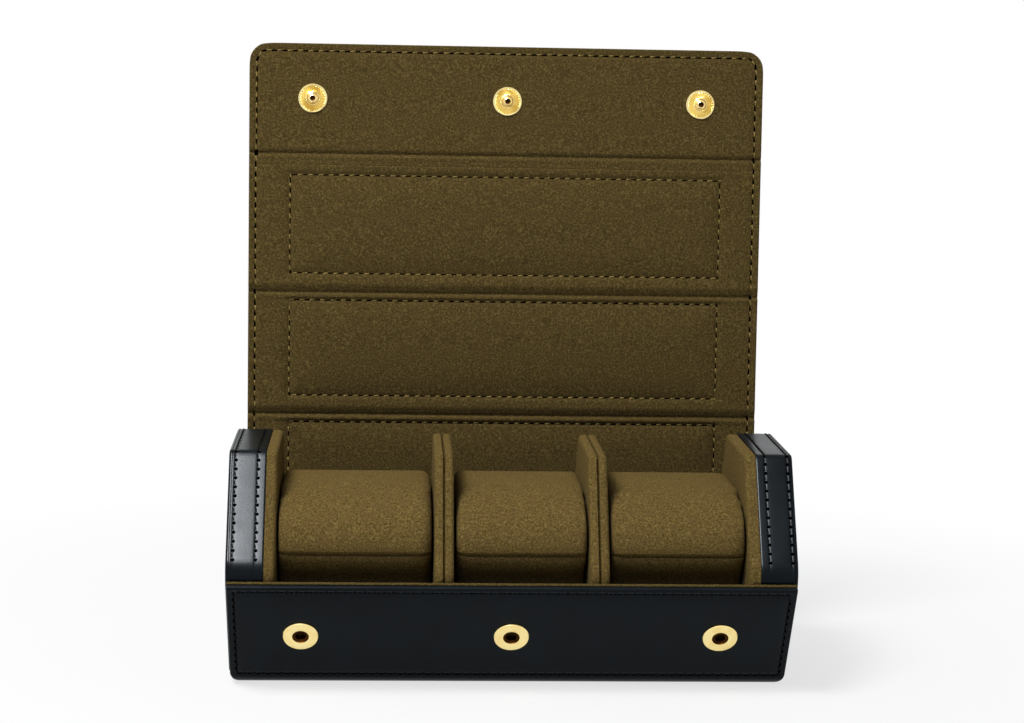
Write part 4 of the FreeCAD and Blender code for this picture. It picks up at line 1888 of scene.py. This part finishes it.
@dataclass
class End:
    """One stiff end: its sewn leather rim, its face and its suede wall.

    Attributes:
        word, sign: which end it is, and its side of the case along X.
        outer_row, inner_row: the rim's sewn lines, from the middle of the case.
        draw, row_width: depth and half width of the channels that they make.
        stitch_sink: how far the stitches lie in those channels.
        slack: how far the rim's edges drop away from its middle.
        back: depth of the rim leather's back.
        edge: width of the strip that holds the rim leather's edges.
        across_pitch, along_pitch: about how far apart the rim's lines are.
        shoulder: where the rim leather meets the face.
        face_round: rounding of the face's outer edge.
        wall_gap: how far the padded wall's rim stays behind the slot's end.
        wall_inset: how far its upper sides are drawn in.
        wall_round, wall_crown: rounding of its rim, and its middle's rise.
    """

    word: str
    sign: int
    outer_row: float = 99.2 * MM
    inner_row: float = 91.2 * MM
    draw: float = 0.14 * MM
    row_width: float = 0.35 * MM
    stitch_sink: float = 0.13 * MM
    slack: float = 0.1 * MM
    back: float = -0.95 * MM
    edge: float = 0.35 * MM
    across_pitch: float = 2.0 * MM
    along_pitch: float = 6.0 * MM
    shoulder: float = 100.5 * MM
    face_round: float = 0.8 * MM
    wall_gap: float = 0.3 * MM
    wall_inset: float = 0.4 * MM
    wall_round: float = 1.5 * MM
    wall_crown: float = 0.3 * MM

    def rim_path(self) -> SectionPath:
        """The rounded hexagon, closed, from the middle of the floor.

        Returns:
            The line that the rim is bent along.
        """
        side, small = SIZES.side, SIZES.small_corner
        rounds = [small, SIZES.wide_corner, small] * 2
        legs = [(side / 2 - small * CORNER_SHARE, FOLD, small)]
        for before, radius in zip(rounds, rounds[1:]):
            legs.append((side - (before + radius) * CORNER_SHARE, FOLD, radius))
        legs.append((side / 2 - small * CORNER_SHARE, 0, 0))
        return SectionPath((0.0, SIZES.wrap), 0.0, legs)

    def rim(self, path: SectionPath) -> Piece:
        """The leather round the rim, puffed up between two sewn lines.

        Args:
            path: the rim's line.
        Returns:
            The leather.
        """
        inner, outer = SIZES.end_inner, self.shoulder
        middle = (self.inner_row + self.outer_row) / 2
        marks = [inner, inner + self.edge, outer - self.edge, outer, middle]
        for row in (self.inner_row, self.outer_row):
            marks += [row + step * self.row_width for step in (-1.8, -1, 0, 1, 1.8)]
        across = sorted(self.sign * x for x in spread(marks, self.across_pitch))
        rows = path.lines(0, path.length, self.along_pitch)
        piece = woven_grid(f"{self.word}_rim", across, rows, Side.OUTER)
        points = points_of(piece)
        x = np.abs(points[:, 0])
        nearest = np.minimum(np.abs(x - self.inner_row), np.abs(x - self.outer_row))
        puff = self.slack * ((x - middle) / ((outer - inner) / 2)) ** 2
        points[:, 1] = -np.minimum(puff, self.slack) - channel(nearest, self.draw, self.row_width)
        set_points(piece, points)
        thicken(piece, self.back)
        refine(piece)
        path.bend(piece)
        outwards(piece)
        smooth(piece)
        dress(piece, Finish.LEATHER)
        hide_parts(f"{self.word}_end_band")
        return piece

    def seams(self, path: SectionPath) -> list[Seam]:
        """Two rows of stitches over the three sides that show.

        Args:
            path: the rim's line.
        Returns:
            The two rows.
        """
        # Its fifth and tenth places start the front side and end the rear one
        low, high = path.bends()[4], path.bends()[9]
        sewn = {"thick": 0.4 * MM, "pitch": 3.4 * MM, "hole": (1.3 * MM, 1.45 * MM), "slant": 10.0}
        found = []
        for word, place in (("outer", self.outer_row), ("inner", self.inner_row)):
            route = [(self.sign * place, low), (self.sign * place, high)]
            name, thread = f"{self.word}_rim_{word}_stitches", Finish.BLACK_THREAD
            found.append(Seam(name, route, 0.0, Side.OUTER, thread, self.stitch_sink, **sewn))
        return found

    def build(self) -> None:
        """Builds the end's rim, face, suede wall and stitching."""
        path = self.rim_path()
        pieces = [self.rim(path)] + [seam.build(path) for seam in self.seams(path)]
        low, high = sorted(self.sign * x for x in (self.shoulder, SIZES.case_end))
        rounds = (self.face_round, 0.0)[:: -self.sign]
        face = HexPlate(f"{self.word}_face", low, high, 0.0, *rounds).build()
        dress(face, Finish.LEATHER)
        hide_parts(f"{self.word}_end_face")
        near, far = SIZES.slot_end + self.wall_gap, SIZES.end_inner
        low, high = sorted(self.sign * x for x in (near, far))
        rounds, crowns = ((size, 0.0)[:: self.sign] for size in (self.wall_round, self.wall_crown))
        name = f"{self.word}_padded_wall"
        wall = HexPlate(name, low, high, self.wall_inset, *rounds, *crowns).build()
        dress(wall, Finish.CUSHION_SUEDE)
        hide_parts(f"{self.word}_end_wall_suede", f"{self.word}_end_wall_core")
        for piece in [*pieces, face, wall]:
            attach(piece, "base")
        LOG.info("%s end: built", self.word)


@dataclass
class Divider:
    """Two suede leaves sewn back to back over a board.

    Attributes:
        word: which divider it is.
        inset: how far its upper sides are drawn in.
        outer_round, seam_round: rounding of a leaf's rim outside and at the board.
        crown: how far a leaf's middle stands proud of its rim.
    """

    word: str
    inset: float = 1.1 * MM
    outer_round: float = 1.5 * MM
    seam_round: float = 0.4 * MM
    crown: float = 0.25 * MM

    def build(self) -> None:
        """Builds both leaves where the frame has them."""
        for side, order in (("left", 1), ("right", -1)):
            node, name = f"{self.word}_divider_{side}_leaf", f"{self.word}_divider_{side}_pad"
            low, high = (corner.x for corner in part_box(node))
            rounds = (self.outer_round, self.seam_round)[::order]
            crowns = (self.crown, 0.0)[::order]
            low, high = low + crowns[0], high - crowns[1]
            leaf = HexPlate(name, low, high, self.inset, *rounds, *crowns).build()
            dress(leaf, Finish.CUSHION_SUEDE)
            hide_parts(node)
            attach(leaf, "base")
        LOG.info("%s divider: built", self.word)


# The snaps


@dataclass(frozen=True)
class TurnedPart:
    """A round part, drawn up ring by ring from its foot.

    Attributes:
        name: the piece's name.
        profile: (radius, height) of each ring in mm; a ring that comes back
            to the first one closes a hollow part.
        flutes: the two radii in mm between which it is fluted, if it is.
        flute_height: how far every second line of a fluted ring is raised.
        bore: the radius in mm inside which the part is painted dark brown: painted shade of its hole.
        finish: what it is plated with.
        around: how many sides stand for a circle.
    """

    name: str
    profile: Route
    flutes: Place | None = None
    flute_height: float = 0.42 * MM
    bore: float = 0.0
    finish: Finish = Finish.GILT
    around: int = 60

    def build(self) -> Piece:
        """Draws the part up from a disc by extruding and scaling.

        Returns:
            The part, upright on the origin.
        """
        deselect_all()
        rings = [(radius * MM, height * MM) for radius, height in self.profile]
        hollow = rings[0] == rings[-1]
        radius, height = rings[0]
        bpy.ops.mesh.primitive_circle_add(
            vertices=self.around,
            radius=radius,
            fill_type="NOTHING" if hollow else "NGON",
            location=(0, 0, height),
        )
        piece = added(self.name)
        with editing(piece, "EDGE" if hollow else "FACE"):
            bpy.ops.mesh.select_all(action="SELECT")
            for (radius, height), (wider, higher) in zip(rings, rings[1:]):
                rise = {"value": (0, 0, higher - height)}
                bpy.ops.mesh.extrude_region_move(TRANSFORM_OT_translate=rise)
                share = wider / radius
                bpy.ops.transform.resize(value=(share, share, 1), center_override=(0, 0, higher))
            if self.flutes:
                pick(piece, "VERT", self.on_flute)
                bpy.ops.transform.translate(value=(0, 0, self.flute_height))
        outwards(piece)
        dress(piece, self.finish, Finish.POST)
        # Faces inside the bore get the dark second finish: painted shade of the hole
        for face in piece.data.polygons:
            face.material_index = int(math.hypot(face.center.x, face.center.y) < self.bore * MM)
        return smooth(piece, TURNED_ANGLE)

    def on_flute(self, co: Vector, _: Vector) -> bool:
        """Whether a point is on one of every two lines of the fluted ring.

        Args:
            co: the point.
        Returns:
            True if it is raised.
        """
        inner, outer = self.flutes
        line = math.atan2(co.y, co.x) / (2 * math.pi / self.around)
        return inner * MM < math.hypot(co.x, co.y) < outer * MM and round(line) % 2 == 0


@dataclass
class Snaps:
    """The three press snaps: sockets, studs and the studs' caps.

    Attributes:
        flap: what the studs and caps stand on.
        socket, stud, cap: (radius, height) of each of their rings, in mm.
        flutes: between which radii of a stud it is fluted, in mm.
        socket_bore, stud_bore: inside which radius each is painted dark brown as the shade of its hole, in
            mm.
    """

    flap: Flap
    socket: Route = (
        (2.6, 0), (6.2, 0), (6.35, 0.12), (6.35, 0.45), (6.15, 0.7), (5.7, 0.8), (4.4, 0.8),
        (3.2, 0.79), (2.98, 0.72), (2.86, 0.58), (2.75, 0.3), (2.6, 0),
    )
    stud: Route = (
        (5.35, 0), (5.55, 0.12), (5.55, 0.34), (5.4, 0.48), (5.15, 0.52), (4.9, 0.46),
        (4.75, 0.25), (4.6, 0.12), (2.75, 0.12), (2.6, 0.42), (2.35, 0.5), (2.1, 0.4),
        (1.95, 0.2), (1.5, 0.25), (1.42, 0.95), (1.6, 1.15), (1.8, 1.5), (1.8, 1.9),
        (1.62, 2.3), (1.35, 2.5), (1.05, 2.6), (0.9, 2.5), (0.8, 1.9), (0.7, 0.9),
    )
    cap: Route = (
        (6.0, 0), (6.2, 0.1), (6.2, 0.3), (5.9, 0.42), (5.0, 0.58), (3.6, 0.76), (1.8, 0.87),
        (0.6, 0.9),
    )
    flutes: Place = (2.7, 4.65)
    socket_bore: float = 3.0
    stud_bore: float = 1.0

    def stand(self, part: TurnedPart, x: float, path: SectionPath, run: float, face: Side) -> Piece:
        """Stands a turned part on a face of the wrap, with its axis out of it.

        Args:
            part: what to turn.
            x: its place along the case.
            path, run: the wrap's line, and how far along it.
            face: the side that it stands on.
        Returns:
            The part in its place.
        """
        piece = part.build()
        y, z = path.place(np.array([run, run + MM]), np.full(2, face.depth))
        ahead = Vector((0, y[1] - y[0], z[1] - z[0])).normalized()
        up = Vector((0, ahead.z, -ahead.y)) * face.value
        basis = Matrix((ahead.cross(up), ahead, up)).transposed().to_4x4()
        piece.data.transform(Matrix.Translation((x, y[0], z[0])) @ basis)
        return piece

    def build(self) -> None:
        """Builds three of each part."""
        # The studs' gilt is painted darker: painted shade for the dark room that they reflect
        fluted = {"flutes": self.flutes, "bore": self.stud_bore, "finish": Finish.STUD_GILT}
        wall = (BASE_PATH, SIZES.socket_run)
        closure = (self.flap.path, SIZES.stud_run)
        kinds = (
            ("socket", self.socket, {"bore": self.socket_bore}, (*wall, Side.OUTER), "snap_sockets", "base"),
            ("stud", self.stud, fluted, (*closure, Side.INNER), "snap_studs", "closure"),
            ("cap", self.cap, {}, (*closure, Side.OUTER), "stud_caps", "closure"),
        )
        for word, x in (("left", -SIZES.snap_place), ("middle", 0.0), ("right", SIZES.snap_place)):
            for kind, profile, extras, spot, node, body in kinds:
                part = TurnedPart(f"{word}_{kind}", profile, **extras)
                piece = self.stand(part, x, *spot)
                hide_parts(node)
                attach(piece, body)
        LOG.info("snaps: nine turned parts")


# The studio


@dataclass(frozen=True)
class SoftBox:
    """A soft lamp that is turned to the case.

    Attributes:
        name: the lamp's name.
        place: where it hangs.
        size: its width and height.
        power: its watts.
        shine_only: whether it shows in reflections and lights nothing else.
        aim: the point that it is turned to.
    """

    name: str
    place: tuple[float, float, float]
    size: Place
    power: float
    shine_only: bool = False
    aim: tuple[float, float, float] = (0.0, 0.0, 0.08)

    def build(self) -> None:
        """Hangs the lamp."""
        data = bpy.data.lights.new(self.name, "AREA")
        data.shape = "RECTANGLE"
        data.size, data.size_y = self.size
        data.energy = self.power
        lamp = bpy.data.objects.new(self.name, data)
        bpy.context.scene.collection.objects.link(lamp)
        lamp.location = self.place
        ahead = Vector(self.aim) - Vector(self.place)
        lamp.rotation_euler = ahead.to_track_quat("-Z", "Y").to_euler()
        lamp.visible_diffuse = not self.shine_only


@dataclass(frozen=True)
class Studio:
    """The photograph's viewpoint, a pale floor and soft lamps.

    Attributes:
        place: the camera's place.
        yaw, pitch, roll: its turns to the right, down and clockwise, in radians.
        focal_pixels: its focal length in the photograph's pixels.
        sensor: width of its sensor in mm.
        lamps: the key, and a low box whose reflection lights the rims' leather.
        soft: the surround's strength on the case.
        paper: the floor's colour.
        near, far: how far from the middle the floor's shade fades out.
        shade: how white the floor is at the case, of 1.
        floor_width, floor_drop: the floor's width, and how far under the case
            it lies.
    """

    place: tuple[float, float, float] = (-45.4124 * MM, -834.0937 * MM, 230.4703 * MM)
    yaw: float = 0.05496
    pitch: float = 0.13753
    roll: float = 0.01856
    focal_pixels: float = 2288.158
    sensor: float = 36.0
    lamps: tuple[SoftBox, ...] = (
        SoftBox("key_box", (-0.4, -0.38, 1.02), (0.35, 0.35), 13),
        SoftBox("rim_box", (-0.33, -0.84, 0.95), (0.46, 0.16), 42, shine_only=True),
    )
    soft: float = 0.32
    paper: str = "#e2e2e2"
    near: float = 0.1
    far: float = 0.36
    shade: float = 0.7
    floor_width: float = 12.0
    floor_drop: float = 0.2 * MM

    def camera(self) -> None:
        """Stands the camera where the photograph was taken from."""
        data = bpy.data.cameras.new("photo_camera")
        data.sensor_fit = "HORIZONTAL"
        data.sensor_width = self.sensor
        data.lens = self.focal_pixels * self.sensor / PHOTO_WIDTH
        data.clip_start, data.clip_end = 0.05, 20
        camera = bpy.data.objects.new("photo_camera", data)
        bpy.context.scene.collection.objects.link(camera)
        right = Vector((math.cos(self.yaw), -math.sin(self.yaw), 0))
        level = Vector((math.sin(self.yaw), math.cos(self.yaw), 0)) * math.cos(self.pitch)
        ahead = level - Vector((0, 0, math.sin(self.pitch)))
        up = right.cross(ahead)
        turned_right = right * math.cos(self.roll) + up * math.sin(self.roll)
        turned_up = up * math.cos(self.roll) - right * math.sin(self.roll)
        matrix = Matrix((turned_right, turned_up, -ahead)).transposed().to_4x4()
        camera.matrix_world = Matrix.Translation(self.place) @ matrix
        bpy.context.scene.camera = camera

    def seen(self, tree: Tree) -> Socket:
        """One for rays that reach the eye directly, by a mirror or through glass.

        Args:
            tree: the node tree.
        Returns:
            A value of 0 or 1.
        """
        light = add_node(tree, "ShaderNodeLightPath").outputs
        direct = {0: light["Is Camera Ray"], 1: light["Is Glossy Ray"]}
        either = add_node(tree, "ShaderNodeMath", links=direct, operation="MAXIMUM")
        links = {0: either.outputs[0], 1: light["Is Transmission Ray"]}
        return add_node(tree, "ShaderNodeMath", links=links, operation="MAXIMUM").outputs[0]

    def floor(self) -> None:
        """A pale floor that keeps the case's shadow."""
        deselect_all()
        bpy.ops.mesh.primitive_plane_add(size=self.floor_width, location=(0, 0, -self.floor_drop))
        floor = added("studio_floor")
        material, tree, place = blank_material("white_paper")
        paper = add_node(tree, "ShaderNodeBsdfDiffuse", {"Color": linear(self.paper)})
        glow = add_node(tree, "ShaderNodeEmission", {"Color": (1, 1, 1, 1), "Strength": 1.0})
        away = add_node(tree, "ShaderNodeVectorMath", links={0: place}, operation="LENGTH")
        span = {"From Min": self.near, "From Max": self.far, "To Min": self.shade, "To Max": 1.0}
        fade = add_node(tree, "ShaderNodeMapRange", span, {"Value": away.outputs["Value"]})
        fed = {0: self.seen(tree), 1: fade.outputs[0]}
        share = add_node(tree, "ShaderNodeMath", links=fed, operation="MULTIPLY")
        fed = {0: share.outputs[0], 1: paper.outputs[0], 2: glow.outputs[0]}
        mix = add_node(tree, "ShaderNodeMixShader", links=fed)
        add_node(tree, "ShaderNodeOutputMaterial", links={"Surface": mix.outputs[0]})
        floor.data.materials.append(material)

    def world(self) -> None:
        """A white surround, full strength to the eye and soft on the case."""
        world = bpy.data.worlds.new("white_surround")
        bpy.context.scene.world = world
        world.use_nodes = True
        tree = world.node_tree
        tree.nodes.clear()
        values = {"Color": linear("#f4f6ff"), "Strength": self.soft}
        soft = add_node(tree, "ShaderNodeBackground", values)
        white = add_node(tree, "ShaderNodeBackground", {"Color": (1, 1, 1, 1), "Strength": 1.0})
        fed = {0: self.seen(tree), 1: soft.outputs[0], 2: white.outputs[0]}
        mix = add_node(tree, "ShaderNodeMixShader", links=fed)
        add_node(tree, "ShaderNodeOutputWorld", links={"Surface": mix.outputs[0]})

    def build(self) -> None:
        """Sets the whole studio up."""
        self.camera()
        self.floor()
        self.world()
        for lamp in self.lamps:
            lamp.build()
        bpy.context.scene.view_settings.view_transform = "Standard"


def dress_hidden_nodes(frame: dict[str, object]) -> None:
    """Gives each of the frame's own nodes its finish, by its slot or its name.

    Args:
        frame: the frame that was loaded.
    """
    # The springs and posts deep in the snaps are painted dark brown: painted shade of their holes
    by_slot = {
        "outer_leather": Finish.LEATHER,
        "lining_suede": Finish.FLAP_SUEDE,
        "cushion_suede": Finish.CUSHION_SUEDE,
        "stiffening_board": Finish.BOARD,
        "end_core_board": Finish.BOARD,
        "foam": Finish.FOAM,
        "gold_brass": Finish.GILT,
        "spring_brass": Finish.SPRING,
    }
    by_node = {
        "socket_posts": Finish.POST,
        "left_divider_board": Finish.DARK_BOARD,
        "right_divider_board": Finish.DARK_BOARD,
    }
    for row in frame["record"]["subparts"]:
        node = row["node"]
        dress(frame["nodes"][node], by_node.get(node, by_slot[row["material_slot"]]))


def main() -> None:
    """Builds the case round the frame, one sub-assembly after another."""
    logging.basicConfig(level=logging.INFO, format="%(name)s: %(message)s")
    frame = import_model()
    Studio().build()
    dress_hidden_nodes(frame)
    FixedWrap().build()
    flap = Flap(frame)
    flap.build()
    for word, sign in (("left", -1), ("right", 1)):
        End(word, sign).build()
        Divider(word).build()
    for word in ("left", "middle", "right"):
        low, high = (corner.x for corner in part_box(f"{word}_cushion_cover"))
        Cushion(f"{word}_pillow", low + CUSHION_GAP, high - CUSHION_GAP).build()
    Snaps(flap).build()
    deselect_all()


if __name__ == "__main__":
    main()
